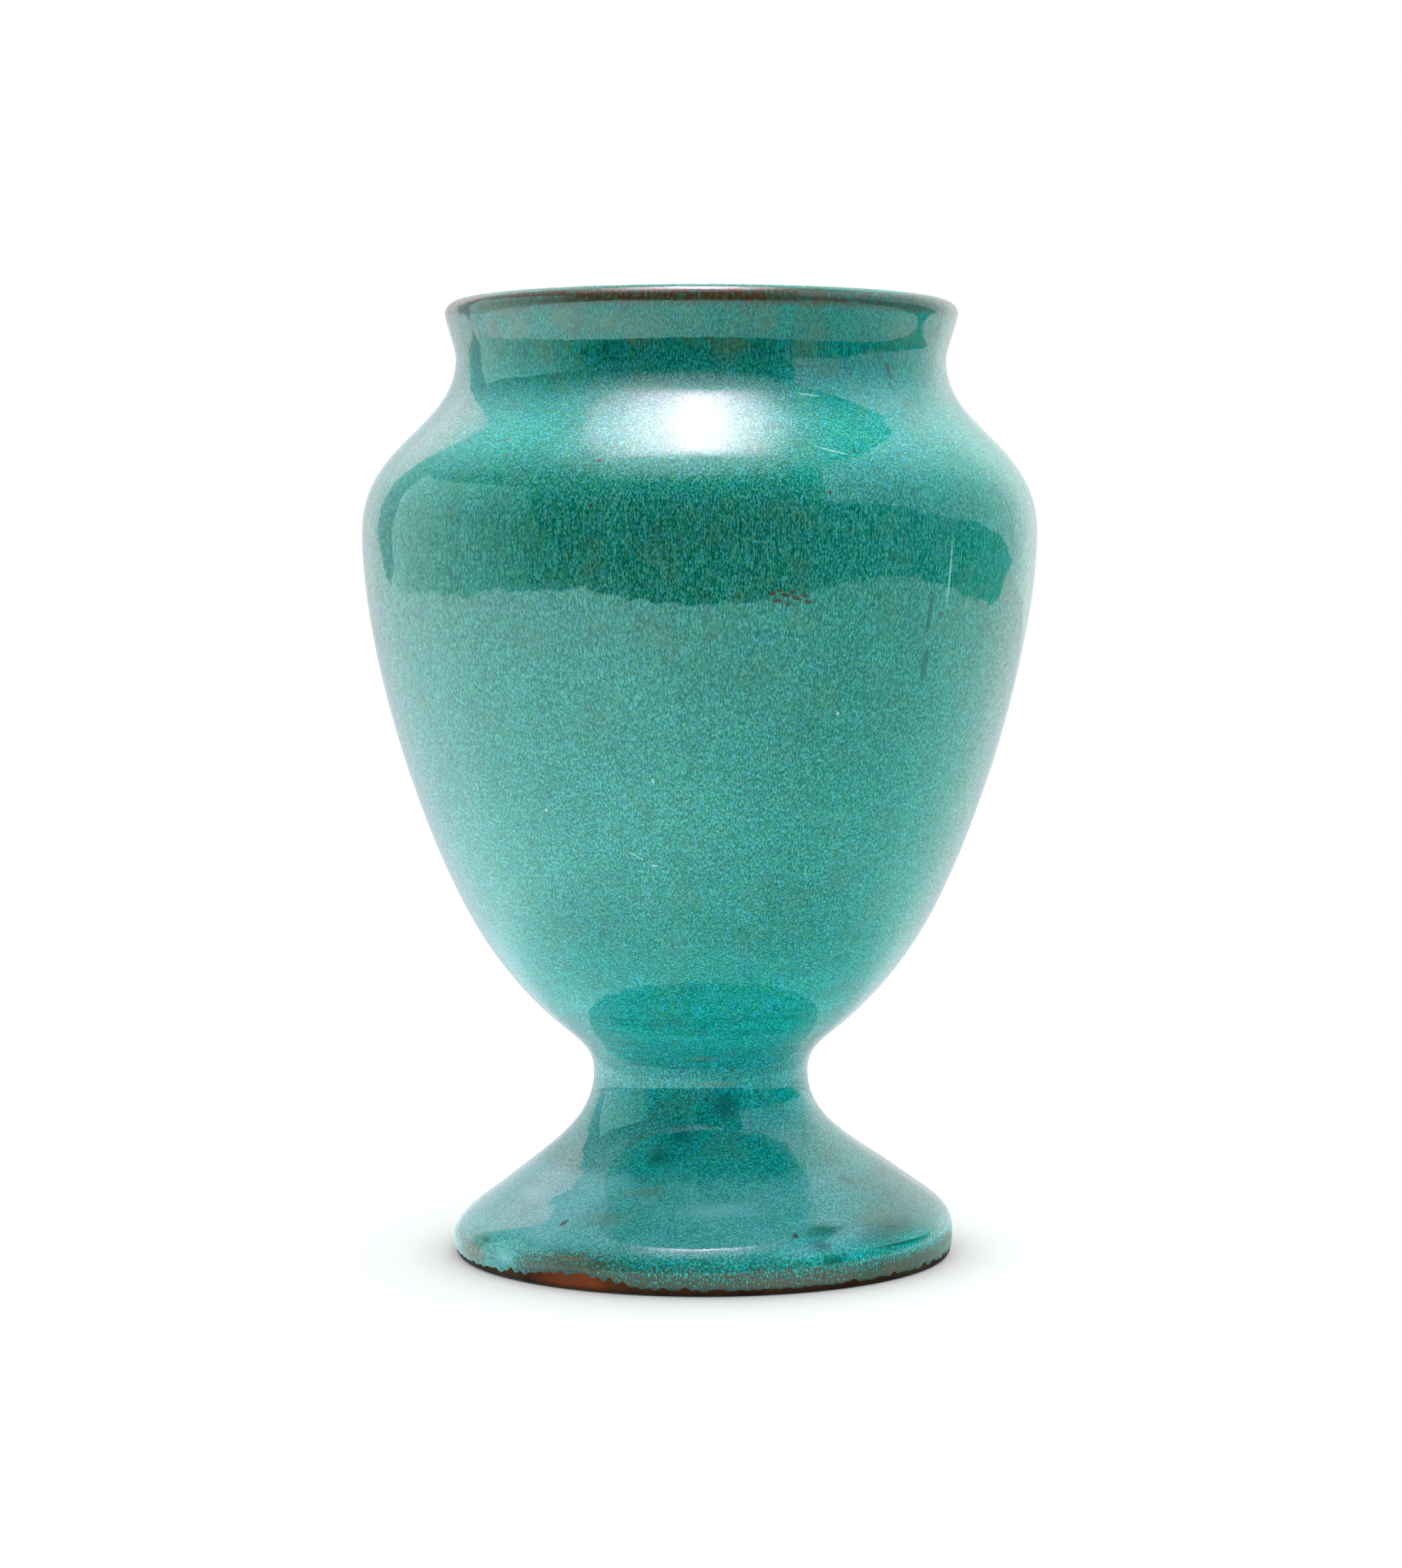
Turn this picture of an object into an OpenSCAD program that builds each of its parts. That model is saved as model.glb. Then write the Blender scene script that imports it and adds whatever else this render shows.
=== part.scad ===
// Wheel-thrown pedestal vase: a bowl luted on a hollow flared foot, glazed outside and in.
// Millimetres, +Z up, origin on the table under the middle of the foot.
// Radii and heights are those of the fired clay, and the glaze coats lie on top of it.

/* [Whole vase] */
// Height of the vase, glaze included
height = 250; // [225:1:280]

/* [Pedestal foot] */
// Radius of the clay where the foot is widest
foot_r = 65.7; // [58:0.1:76]
// Height of the widest place above the table
foot_edge_h = 5.5; // [5:0.1:9]
// How far the clay draws in from the widest place down to the table
foot_tuck = 0.2; // [0:0.05:1]
// Rounding of the two corners of the standing ring
ring_round = 1.2; // [0.5:0.1:2]
// Width of the flat standing ring, its roundings included
ring_w = 9; // [6:0.5:14]
// Radius where the edge of the foot has turned into its sloping flank
flank_r = 51.7; // [46:0.1:56]
// Rise from the widest place to that start of the flank
flank_rise = 14.1; // [11:0.1:18]
// Slope of the flank above the horizontal, in degrees
flank_slope = 37.5; // [32:0.5:43]
// Rise from the start of the flank to the waist
stem_rise = 27.9; // [24:0.1:34]
// Radius of the waist, the thinnest place of the stem
waist_r = 28; // [25:0.1:31]
// Rise from the waist to the flat top of the foot
collar_h = 8.5; // [6:0.1:11]
// Radius of the flat top of the foot
foot_top_r = 31.5; // [31.2:0.1:34]
// Thickness of the foot at its flank, square to the surface
foot_wall = 6.5; // [4:0.5:8]
// Thickness of the stem at its waist
stem_wall = 8; // [5:0.5:11]

/* [Bowl] */
// Slope of the outside where the bowl leaves the stem, in degrees
seam_slope = 45; // [40:1:55]
// Radius of the cheek, low on the bowl, where its side steepens
cheek_r = 61.8; // [56:0.1:68]
// Rise from the bowl's flat base to the cheek
cheek_rise = 35.4; // [30:0.1:42]
// Slope of the side at the cheek, in degrees
cheek_slope = 63; // [56:0.5:70]
// Radius of the belly, the widest place of the vase
belly_r = 88.2; // [80:0.1:98]
// Radius of the neck, the narrowest place below the lip
neck_r = 63.9; // [57:0.1:66]
// Rise from the belly to the neck
shoulder_rise = 46; // [40:0.1:58]
// Thickness of the clay from the belly up to the neck, square to the surface
wall = 5; // [4:0.1:5.7]
// Thickness of the clay at the cheek, square to the surface
cheek_wall = 6; // [4:0.1:8]
// Thickness of the clay floor over the stem
floor_t = 8; // [6:0.5:12]

/* [Lip] */
// Radius of the clay at the outer edge of the lip
lip_r = 66.8; // [66:0.1:70]
// Radius of the rolled lip in cross-section
lip_roll = 2.9; // [2.6:0.1:3.5]
// Rise from the neck to the middle of the rolled lip
lip_rise = 11.3; // [9:0.1:15]

/* [Coats and joint] */
// Thickness of the fired glaze, outside and inside
glaze_t = 0.5; // [0.3:0.05:0.8]
// Height above the table at which the outside glaze was wiped off
glaze_stop = 3.5; // [2.5:0.1:4.5]
// Thickness of the slip that joins the bowl to the foot
slip_t = 0.8; // [0.4:0.1:1.5]
// Radius of the bead of slip smoothed into the corner inside the stem
slip_bead = 2; // [1.8:0.1:4]

/* [Curves] */
// Edge of the foot: reach of the curve's handles, as shares of its chord
edge_shares = [0.27, 0.46]; // [0.1:0.01:0.6]
// Flank of the foot up to the waist
flank_shares = [0.35, 0.36]; // [0.1:0.01:0.6]
// Waist up to the joint with the bowl
collar_shares = [0.18, 0.54]; // [0.1:0.01:0.6]
// Joint up to the cheek
cheek_shares = [0.08, 0.56]; // [0.05:0.01:0.6]
// Cheek up to the belly
belly_shares = [0.33, 0.24]; // [0.1:0.01:0.6]
// Belly up to the neck
shoulder_shares = [0.47, 0.37]; // [0.1:0.01:0.6]
// Neck up to the lip
lip_shares = [0.19, 0.11]; // [0.1:0.01:0.6]
// Floor of the bowl out to the inside of the cheek
floor_shares = [0.6, 0.35]; // [0.1:0.01:0.6]
// Inside of the standing ring up to the inside of the flank
hollow_shares = [0.3, 0.3]; // [0.1:0.01:0.6]
// Slope of the inside of the standing ring above the horizontal, in degrees
hollow_slope = 75; // [65:1:90]

/* [Hidden] */

// Straight pieces that stand for each curve and for each quarter of a rounding
curve_steps = 12;
round_steps = 6;
$fn = 180;

// Heights above the table of the foot and the cheek, each counted up from the one below it
flank_z = foot_edge_h + flank_rise;
waist_z = flank_z + stem_rise;
foot_h = waist_z + collar_h;
base_z = foot_h + slip_t;
cheek_z = base_z + cheek_rise;

// Heights of the lip, the neck and the belly, each counted down from the one above it
lip_z = height - glaze_t - lip_roll;
neck_z = lip_z - lip_rise;
belly_z = neck_z - shoulder_rise;

// Radii that follow from the others
ring_r = foot_r - foot_tuck;
hollow_r = ring_r - ring_w;
bore_r = waist_r - stem_wall;
base_r = foot_top_r + slip_t / tan(seam_slope);
roll_r = lip_r - lip_roll;
lip_inner_r = lip_r - 2 * lip_roll;
glaze_stop_r = ring_r + foot_tuck * glaze_stop / foot_edge_h;

// A unit vector at an angle above the outward horizontal
function heading(angle) = [cos(angle), sin(angle)];

// The vector square to a direction of travel, on its right-hand side: outwards while going up
function right_of(direction) = [direction[1], -direction[0]];

// The four control points of a curve from one place to the next, each with its own direction
function curve(from, from_angle, to, to_angle, shares) =
    let (chord = norm(to - from))
    [from,
     from + shares[0] * chord * heading(from_angle),
     to - shares[1] * chord * heading(to_angle),
     to];

function along(c, t) =
    let (u = 1 - t)
    u * u * u * c[0] + 3 * u * u * t * c[1] + 3 * u * t * t * c[2] + t * t * t * c[3];

function direction_along(c, t) =
    let (u = 1 - t)
    let (d = u * u * (c[1] - c[0]) + 2 * u * t * (c[2] - c[1]) + t * t * (c[3] - c[2]))
    d / norm(d);

// Points of a curve laid to the right of it by a coat's thickness, without its first point
function traced(c, coat) =
    [for (i = [1:curve_steps])
        let (t = i / curve_steps)
        along(c, t) + coat * right_of(direction_along(c, t))];

// Points of a round stretch between two angles, with both ends unless it starts one step later
function rounded(middle, radius, from_angle, to_angle, first_step = 0) =
    [for (i = [first_step:round_steps])
        middle + radius * heading(from_angle + (to_angle - from_angle) * i / round_steps)];

function reversed(points) = [for (i = [len(points) - 1:-1:0]) points[i]];

// Places on the outside of the clay, from the table up
glaze_stop_at = [glaze_stop_r, glaze_stop];
foot_edge_at = [foot_r, foot_edge_h];
flank_at = [flank_r, flank_z];
waist_at = [waist_r, waist_z];
foot_top_at = [foot_top_r, foot_h];
base_at = [base_r, base_z];
cheek_at = [cheek_r, cheek_z];
belly_at = [belly_r, belly_z];
neck_at = [neck_r, neck_z];
lip_at = [lip_r, lip_z];

// Directions there, for someone who walks up the outline
flank_angle = 180 - flank_slope;

// Places on the inside of the clay
flank_inside_at = flank_at - foot_wall * right_of(heading(flank_angle));
bore_at = [bore_r, waist_z];
floor_at = [0, base_z + floor_t];
cheek_inside_at = cheek_at - cheek_wall * right_of(heading(cheek_slope));
belly_inside_at = [belly_r - wall, belly_z];
neck_inside_at = [neck_r - wall, neck_z];
lip_inside_at = [lip_inner_r, lip_z];
lip_middle_at = [roll_r, lip_z];

edge_curve = curve(foot_edge_at, 90, flank_at, flank_angle, edge_shares);
flank_curve = curve(flank_at, flank_angle, waist_at, 90, flank_shares);
collar_curve = curve(waist_at, 90, foot_top_at, seam_slope, collar_shares);
cheek_curve = curve(base_at, seam_slope, cheek_at, cheek_slope, cheek_shares);
belly_curve = curve(cheek_at, cheek_slope, belly_at, 90, belly_shares);
shoulder_curve = curve(belly_at, 90, neck_at, 90, shoulder_shares);
lip_curve = curve(neck_at, 90, lip_at, 90, lip_shares);

floor_inside = curve(floor_at, 0, cheek_inside_at, cheek_slope, floor_shares);
belly_inside = curve(cheek_inside_at, cheek_slope, belly_inside_at, 90, belly_shares);
lip_inside = curve(neck_inside_at, 90, lip_inside_at, 90, lip_shares);

// The foot's outside above the glaze stop, laid out by a coat's thickness
function foot_outside(coat) =
    concat([glaze_stop_at + [coat, 0], foot_edge_at + [coat, 0]],
           traced(edge_curve, coat), traced(flank_curve, coat), traced(collar_curve, coat));

// The bowl's outside from its base to the crest of the lip
function bowl_outside(coat) =
    concat([base_at + coat * right_of(heading(seam_slope))],
           traced(cheek_curve, coat), traced(belly_curve, coat),
           traced(shoulder_curve, coat), traced(lip_curve, coat),
           rounded(lip_middle_at, lip_roll + coat, 0, 90, 1));

// The bowl's inside from the middle of its floor to the crest of the lip
function bowl_inside(coat) =
    concat([floor_at + [0, coat]],
           traced(floor_inside, -coat), traced(belly_inside, -coat),
           traced(shoulder_curve, -wall - coat), traced(lip_inside, -coat),
           rounded(lip_middle_at, lip_roll + coat, 180, 90, 1));

// The hollow of the foot from the standing ring up through the stem
function foot_inside() =
    let (ring_inside_at = [hollow_r, ring_round])
    let (hollow = curve(ring_inside_at, 180 - hollow_slope, flank_inside_at, flank_angle, hollow_shares))
    let (throat = curve(flank_inside_at, flank_angle, bore_at, 90, flank_shares))
    concat(rounded([hollow_r + ring_round, ring_round], ring_round, 270, 180),
           traced(hollow, 0), traced(throat, 0), [[bore_r, foot_h]]);

module bowl() {
    color("peru")
        rotate_extrude()
            polygon(concat([[0, base_z]], bowl_outside(0), reversed(bowl_inside(0))));
}

module pedestal_foot() {
    standing_edge = rounded([ring_r - ring_round, ring_round], ring_round, -90, 0);
    color("sienna")
        rotate_extrude()
            polygon(concat(standing_edge, foot_outside(0), reversed(foot_inside())));
}

module luting_slip() {
    bead_middle_at = [bore_r - slip_bead, base_z - slip_bead];
    color("tan")
        rotate_extrude()
            polygon(concat([[bore_r, foot_h], foot_top_at, base_at],
                           rounded(bead_middle_at, slip_bead, 90, 0)));
}

module outer_glaze() {
    color("lightseagreen")
        rotate_extrude()
            polygon(concat(foot_outside(glaze_t), bowl_outside(glaze_t),
                           reversed(concat(foot_outside(0), bowl_outside(0)))));
}

module liner_glaze() {
    color("mediumturquoise")
        rotate_extrude()
            polygon(concat(bowl_inside(0), reversed(bowl_inside(glaze_t))));
}

bowl();
pedestal_foot();
luting_slip();
outer_glaze();
liner_glaze();
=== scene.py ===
"""Pedestal vase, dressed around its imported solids.

A wheel-thrown bowl is luted on a hollow flared foot. A glossy turquoise glaze
covers it, breaks brown at the lip and stops just above the table. Lengths are
in metres, +Z is up, and the vase stands on the table at the origin. Angles
round the vase are in degrees from the viewer's side, growing to the right.
"""

from __future__ import annotations

import functools
import logging
import math
from collections.abc import Callable, Sequence
from dataclasses import dataclass
from enum import Enum
from typing import Any

import bpy
import numpy as np
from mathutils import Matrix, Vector


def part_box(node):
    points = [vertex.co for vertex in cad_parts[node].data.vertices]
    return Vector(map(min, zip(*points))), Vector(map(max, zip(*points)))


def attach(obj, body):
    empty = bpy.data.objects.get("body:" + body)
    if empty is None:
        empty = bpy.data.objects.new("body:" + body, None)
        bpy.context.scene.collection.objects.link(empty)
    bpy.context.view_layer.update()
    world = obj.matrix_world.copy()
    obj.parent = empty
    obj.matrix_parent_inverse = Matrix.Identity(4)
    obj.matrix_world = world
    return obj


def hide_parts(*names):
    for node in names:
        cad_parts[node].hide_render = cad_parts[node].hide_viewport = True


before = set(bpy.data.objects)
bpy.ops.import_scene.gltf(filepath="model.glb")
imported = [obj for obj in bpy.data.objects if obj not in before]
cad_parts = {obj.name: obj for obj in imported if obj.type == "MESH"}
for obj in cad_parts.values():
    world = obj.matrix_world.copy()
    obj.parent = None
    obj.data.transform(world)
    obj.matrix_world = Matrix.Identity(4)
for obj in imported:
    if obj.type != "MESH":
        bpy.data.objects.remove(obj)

LOG = logging.getLogger("pedestal_vase")
BODY = "root"
MM = 0.001
SPOT_DEPTH = 8 * MM
EDGE_SPAN = 8 * MM
CROWN_RISE = (0.5, 1.1)
SHINE_TOP = 5.0
SHARP_ANGLE = 40.0

# Ramps along the height end a quarter of a metre above the table
PER_HEIGHT = 4.0

Colour = tuple[float, float, float]
Place = tuple[float, float, float]
Pair = tuple[float, float]
Box = tuple[float, float, float, float]
Levels = Sequence[Pair]
Shades = Sequence[tuple[float, Colour]]


# Shader maths


def _sum(operation: str, flipped: bool = False) -> Callable[[Value, Any], Value]:
    """Makes the method behind a sign such as plus.

    Args:
        operation: Blender's name of the sum.
        flipped: Whether the other value stands on the left.

    Returns:
        The method.
    """

    def method(value: Value, other: Any) -> Value:
        """Joins the two values in a new node."""
        pair = (other, value) if flipped else (value, other)
        return value.graph.math(operation, *pair)

    return method


class Value:
    """A socket of a node tree that takes part in sums."""

    __add__ = _sum("ADD")
    __radd__ = _sum("ADD", flipped=True)
    __sub__ = _sum("SUBTRACT")
    __rsub__ = _sum("SUBTRACT", flipped=True)
    __mul__ = _sum("MULTIPLY")
    __rmul__ = _sum("MULTIPLY", flipped=True)
    __truediv__ = _sum("DIVIDE")
    most = _sum("MAXIMUM")

    def __init__(self, graph: Graph, socket: bpy.types.NodeSocket) -> None:
        """Keeps the tree and the socket that the value comes from."""
        self.graph = graph
        self.socket = socket


class Graph:
    """The node tree of one material or of the world."""

    def __init__(self, owner: bpy.types.ID) -> None:
        """Empties the owner's node tree.

        Args:
            owner: The material or world whose nodes are made.
        """
        owner.use_nodes = True
        self.owner = owner
        self.tree = owner.node_tree
        self.tree.nodes.clear()

    def node(
        self,
        kind: str,
        settings: dict[str, Any] | None = None,
        sockets: dict[Any, Any] | None = None,
        output: int | str = 0,
    ) -> Value | None:
        """Adds a node.

        Args:
            kind: Blender's name of the node's type.
            settings: Its properties, and "stops" for a ramp's colours, set first.
            sockets: Values or links of its inputs, by name or number.
            output: The output that is handed on.

        Returns:
            The chosen output, or None where the node has none.
        """
        made = self.tree.nodes.new(kind)
        for name, setting in (settings or {}).items():
            if name == "stops":
                self._set_stops(made.color_ramp, setting)
            else:
                setattr(made, name, setting)
        for key, value in (sockets or {}).items():
            if isinstance(value, Value):
                self.tree.links.new(value.socket, made.inputs[key])
            else:
                made.inputs[key].default_value = value
        return Value(self, made.outputs[output]) if made.outputs else None

    @staticmethod
    def _set_stops(ramp: bpy.types.ColorRamp, stops: Shades) -> None:
        """Gives a ramp its places and colours.

        Args:
            ramp: The ramp.
            stops: Its places and colours.
        """
        while len(ramp.elements) < len(stops):
            ramp.elements.new(1.0)
        for element, (place, colour) in zip(ramp.elements, stops):
            element.position = place
            element.color = (*colour, 1.0)

    def math(self, operation: str, *values: Any) -> Value:
        """Math node of one operation."""
        return self.node("ShaderNodeMath", {"operation": operation}, dict(enumerate(values)))

    def vector(self, operation: str, *values: Any, output: int | str = 0) -> Value:
        """Vector Math node of one operation."""
        settings = {"operation": operation}
        return self.node("ShaderNodeVectorMath", settings, dict(enumerate(values)), output)

    def coordinates(self) -> Value:
        """Place on the object, in metres."""
        return self.node("ShaderNodeTexCoord", output="Object")

    def axis(self, vector: Value, letter: str) -> Value:
        """One coordinate of a vector."""
        return self.node("ShaderNodeSeparateXYZ", None, {0: vector}, letter)

    def turn(self) -> Value:
        """Share of a full turn round the vase, one half at the viewer's side.

        Returns:
            The share.
        """
        place = self.coordinates()
        angle = self.math("ARCTAN2", self.axis(place, "X"), 0.0 - self.axis(place, "Y"))
        return angle / (2 * math.pi) + 0.5

    def round_ramp(self, stops: Shades, top: float) -> Value:
        """Colour that follows the angle round the vase.

        Args:
            stops: Angles in degrees and colours.
            top: Number by which the colours are divided.

        Returns:
            The colour.
        """
        parts = [(0.5 + angle / 360, tuple(part / top for part in colour)) for angle, colour in stops]
        return self.ramp(self.turn(), parts)

    def noise(
        self,
        place: Value,
        scale: float,
        detail: float = 2.0,
        roughness: float = 0.5,
        stretch: Place | None = None,
    ) -> Value:
        """Soft noise.

        Args:
            place: Where it is read.
            scale: Lumps in a metre.
            detail: Finer layers added.
            roughness: Strength of the finer layers.
            stretch: Factor on each axis, small where the lumps are drawn out.

        Returns:
            A value around one half.
        """
        if stretch is not None:
            place = self.vector("MULTIPLY", place, stretch)
        inputs = {"Vector": place, "Scale": scale, "Detail": detail, "Roughness": roughness}
        return self.node("ShaderNodeTexNoise", {"noise_dimensions": "3D"}, inputs)

    def smooth(self, value: Value, low: float, high: float) -> Value:
        """Smooth rise from 0 to 1, or a fall where low is the larger.

        Args:
            value: The value that it follows.
            low: Where it starts.
            high: Where it ends.

        Returns:
            A value from 0 to 1.
        """
        ends = {3: 1.0, 4: 0.0} if low > high else {3: 0.0, 4: 1.0}
        inputs = {0: value, 1: min(low, high), 2: max(low, high), **ends}
        return self.node("ShaderNodeMapRange", {"interpolation_type": "SMOOTHSTEP"}, inputs)

    def ramp(self, value: Value, stops: Shades) -> Value:
        """Colour ramp."""
        return self.node("ShaderNodeValToRGB", {"stops": stops}, {0: value})

    def level(self, value: Value, stops: Levels) -> Value:
        """Number that follows a list of places and numbers."""
        return self.ramp(value, [(place, (number,) * 3) for place, number in stops])

    def mix(self, factor: Any, first: Any, second: Any, blend: str = "MIX") -> Value:
        """Mix of two colours.

        Args:
            factor: Share of the second colour.
            first: Colour below.
            second: Colour above.
            blend: How the two are mixed.

        Returns:
            The mixed colour.
        """
        sides = [(*c, 1.0) if isinstance(c, tuple) and len(c) == 3 else c for c in (first, second)]
        settings = {"data_type": "RGBA", "blend_type": blend}
        return self.node("ShaderNodeMix", settings, {0: factor, 6: sides[0], 7: sides[1]}, 2)

    def channels(self, red: Any, green: Any, blue: Any) -> Value:
        """Colour made of three numbers."""
        return self.node("ShaderNodeCombineXYZ", None, {0: red, 1: green, 2: blue})

    def bump(self, height: Value, distance: float) -> Value:
        """Normal of a surface with small relief, in metres."""
        sockets = {"Height": height, "Distance": distance, "Strength": 1.0}
        return self.node("ShaderNodeBump", None, sockets)

    def ray(self, kind: str) -> Value:
        """Whether the light path is of one kind."""
        return self.node("ShaderNodeLightPath", output=kind)

    def emission(self, colour: Any, strength: Any = 1.0) -> Value:
        """Light given off."""
        return self.node("ShaderNodeEmission", None, {0: colour, 1: strength})

    def blend(self, share: Any, first: Value, second: Value) -> Value:
        """Mix of two shaders."""
        return self.node("ShaderNodeMixShader", None, {0: share, 1: first, 2: second})

    def surface(self, shader: Value) -> None:
        """Links a shader to the material's output."""
        self.node("ShaderNodeOutputMaterial", None, {0: shader})


# The thrown form


def heading(angle: float) -> np.ndarray:
    """Unit vector in radius and height, at an angle above the outward horizontal."""
    return np.array([math.cos(math.radians(angle)), math.sin(math.radians(angle))])


def square_to(angle: float) -> np.ndarray:
    """Unit vector on the right-hand side of a direction of travel."""
    return heading(angle - 90)


def arc(start: float, end: float, steps: int) -> np.ndarray:
    """Points of an arc of radius 1 round the origin, with both ends."""
    angles = np.radians(np.linspace(start, end, steps + 1))
    return np.stack([np.cos(angles), np.sin(angles)], 1)


def smoothstep(value: Any, low: float, high: float) -> np.ndarray:
    """Smooth rise from 0 at low to 1 at high."""
    share = np.clip((np.asarray(value, float) - low) / (high - low), 0.0, 1.0)
    return share * share * (3 - 2 * share)


@dataclass(frozen=True)
class Curve:
    """One cubic stretch of the outline, in radius and height."""

    start: np.ndarray
    start_angle: float
    end: np.ndarray
    end_angle: float
    pull: Pair

    def laid(self, coat: float, spacing: float) -> np.ndarray:
        """Points of the curve moved to its right by a coat's thickness.

        Args:
            coat: Distance from the clay, below zero on its left.
            spacing: About the distance from point to point.

        Returns:
            Rows of radius and height, without the curve's first point.
        """
        chord = float(np.linalg.norm(self.end - self.start))
        first = self.start + self.pull[0] * chord * heading(self.start_angle)
        second = self.end - self.pull[1] * chord * heading(self.end_angle)
        t = np.linspace(0, 1, max(3, math.ceil(chord / spacing)) + 1)[1:, None]
        u = 1 - t
        points = u**3 * self.start + 3 * u * u * t * first + 3 * u * t * t * second + t**3 * self.end
        along = u * u * (first - self.start) + 2 * u * t * (second - first)
        along = along + t * t * (self.end - second)
        along /= np.linalg.norm(along, axis=1)[:, None]
        return points + coat * np.stack([along[:, 1], -along[:, 0]], 1)


@dataclass(frozen=True)
class VaseOutline:
    """Radii, heights and slopes of the fired clay.

    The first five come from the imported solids. The others repeat the sizes
    that the solids were drawn with. A pull says how far a stretch follows its
    slope at each end, as shares of its chord.
    """

    height: float
    foot_h: float
    base_z: float
    floor_z: float
    glaze_t: float
    foot_r: float = 65.7 * MM
    foot_edge_h: float = 5.5 * MM
    foot_tuck: float = 0.2 * MM
    ring_round: float = 1.2 * MM
    ring_w: float = 9 * MM
    flank_r: float = 51.7 * MM
    flank_rise: float = 14.1 * MM
    flank_slope: float = 37.5
    stem_rise: float = 27.9 * MM
    waist_r: float = 28 * MM
    foot_top_r: float = 31.5 * MM
    foot_wall: float = 6.5 * MM
    stem_wall: float = 8 * MM
    seam_slope: float = 45
    cheek_r: float = 61.8 * MM
    cheek_rise: float = 35.4 * MM
    cheek_slope: float = 63
    belly_r: float = 88.2 * MM
    neck_r: float = 63.9 * MM
    shoulder_rise: float = 46 * MM
    wall: float = 5 * MM
    cheek_wall: float = 6 * MM
    lip_r: float = 66.8 * MM
    lip_roll: float = 2.9 * MM
    lip_rise: float = 11.3 * MM
    slip_bead: float = 2 * MM
    hollow_slope: float = 75
    edge_pull: Pair = (0.27, 0.46)
    stem_pull: Pair = (0.35, 0.36)
    seam_pull: Pair = (0.18, 0.54)
    hollow_pull: Pair = (0.3, 0.3)
    base_pull: Pair = (0.08, 0.56)
    floor_pull: Pair = (0.6, 0.35)
    wall_pull: Pair = (0.33, 0.24)
    shoulder_pull: Pair = (0.47, 0.37)
    neck_pull: Pair = (0.19, 0.11)
    spacing: float = 1 * MM
    edge_spacing: float = 0.6 * MM
    hollow_spacing: float = 0.7 * MM
    loose_spacing: float = 1.5 * MM

    @classmethod
    def from_frame(cls) -> VaseOutline:
        """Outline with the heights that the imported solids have.

        Returns:
            The outline.
        """
        bowl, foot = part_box("bowl"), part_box("pedestal_foot")
        coat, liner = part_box("outer_glaze"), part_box("liner_glaze")
        return cls(
            height=coat[1].z,
            foot_h=foot[1].z,
            base_z=bowl[0].z,
            floor_z=liner[0].z,
            glaze_t=coat[1].z - bowl[1].z,
        )

    @property
    def lip_z(self) -> float:
        """Height of the middle of the rolled lip."""
        return self.height - self.glaze_t - self.lip_roll

    @property
    def neck_z(self) -> float:
        """Height of the neck."""
        return self.lip_z - self.lip_rise

    @property
    def belly_z(self) -> float:
        """Height of the belly."""
        return self.neck_z - self.shoulder_rise

    @property
    def ring_r(self) -> float:
        """Outer radius of the clay where it meets the table."""
        return self.foot_r - self.foot_tuck

    @property
    def bore_r(self) -> float:
        """Inner radius of the stem."""
        return self.waist_r - self.stem_wall

    @property
    def base_r(self) -> float:
        """Outer radius of the bowl's flat base."""
        rise = self.base_z - self.foot_h
        return self.foot_top_r + rise / math.tan(math.radians(self.seam_slope))

    @property
    def waist_z(self) -> float:
        """Height of the stem's narrowest place."""
        return self.foot_edge_h + self.flank_rise + self.stem_rise

    @property
    def flank(self) -> np.ndarray:
        """Flattest place of the foot's flank."""
        return np.array([self.flank_r, self.foot_edge_h + self.flank_rise])

    @property
    def cheek(self) -> np.ndarray:
        """Place on the bowl between its base and its belly."""
        return np.array([self.cheek_r, self.base_z + self.cheek_rise])

    @property
    def shoulder(self) -> Curve:
        """Outside of the clay from the belly to the neck."""
        belly, neck = np.array([self.belly_r, self.belly_z]), np.array([self.neck_r, self.neck_z])
        return Curve(belly, 90, neck, 90, self.shoulder_pull)

    def foot_side(self, height: Any) -> np.ndarray:
        """Radius of the clay between the table and the widest place."""
        share = np.clip(np.asarray(height) / self.foot_edge_h, 0, 1)
        return self.ring_r + self.foot_tuck * share

    def foot_outside(self, coat: float, lowest: float) -> np.ndarray:
        """Outside of the foot from a height up to its flat top.

        Args:
            coat: Distance from the clay.
            lowest: Height of the first point.

        Returns:
            Rows of radius and height.
        """
        low = np.linspace(lowest, self.foot_edge_h, 9)
        side = np.stack([self.foot_side(low) + coat, low], 1)
        edge = np.array([self.foot_r, self.foot_edge_h])
        waist = np.array([self.waist_r, self.waist_z])
        top = np.array([self.foot_top_r, self.foot_h])
        turned = 180 - self.flank_slope
        rows = [
            side,
            Curve(edge, 90, self.flank, turned, self.edge_pull).laid(coat, self.edge_spacing),
            Curve(self.flank, turned, waist, 90, self.stem_pull).laid(coat, self.spacing),
            Curve(waist, 90, top, self.seam_slope, self.seam_pull).laid(coat, self.spacing),
        ]
        return np.vstack(rows)

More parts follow.
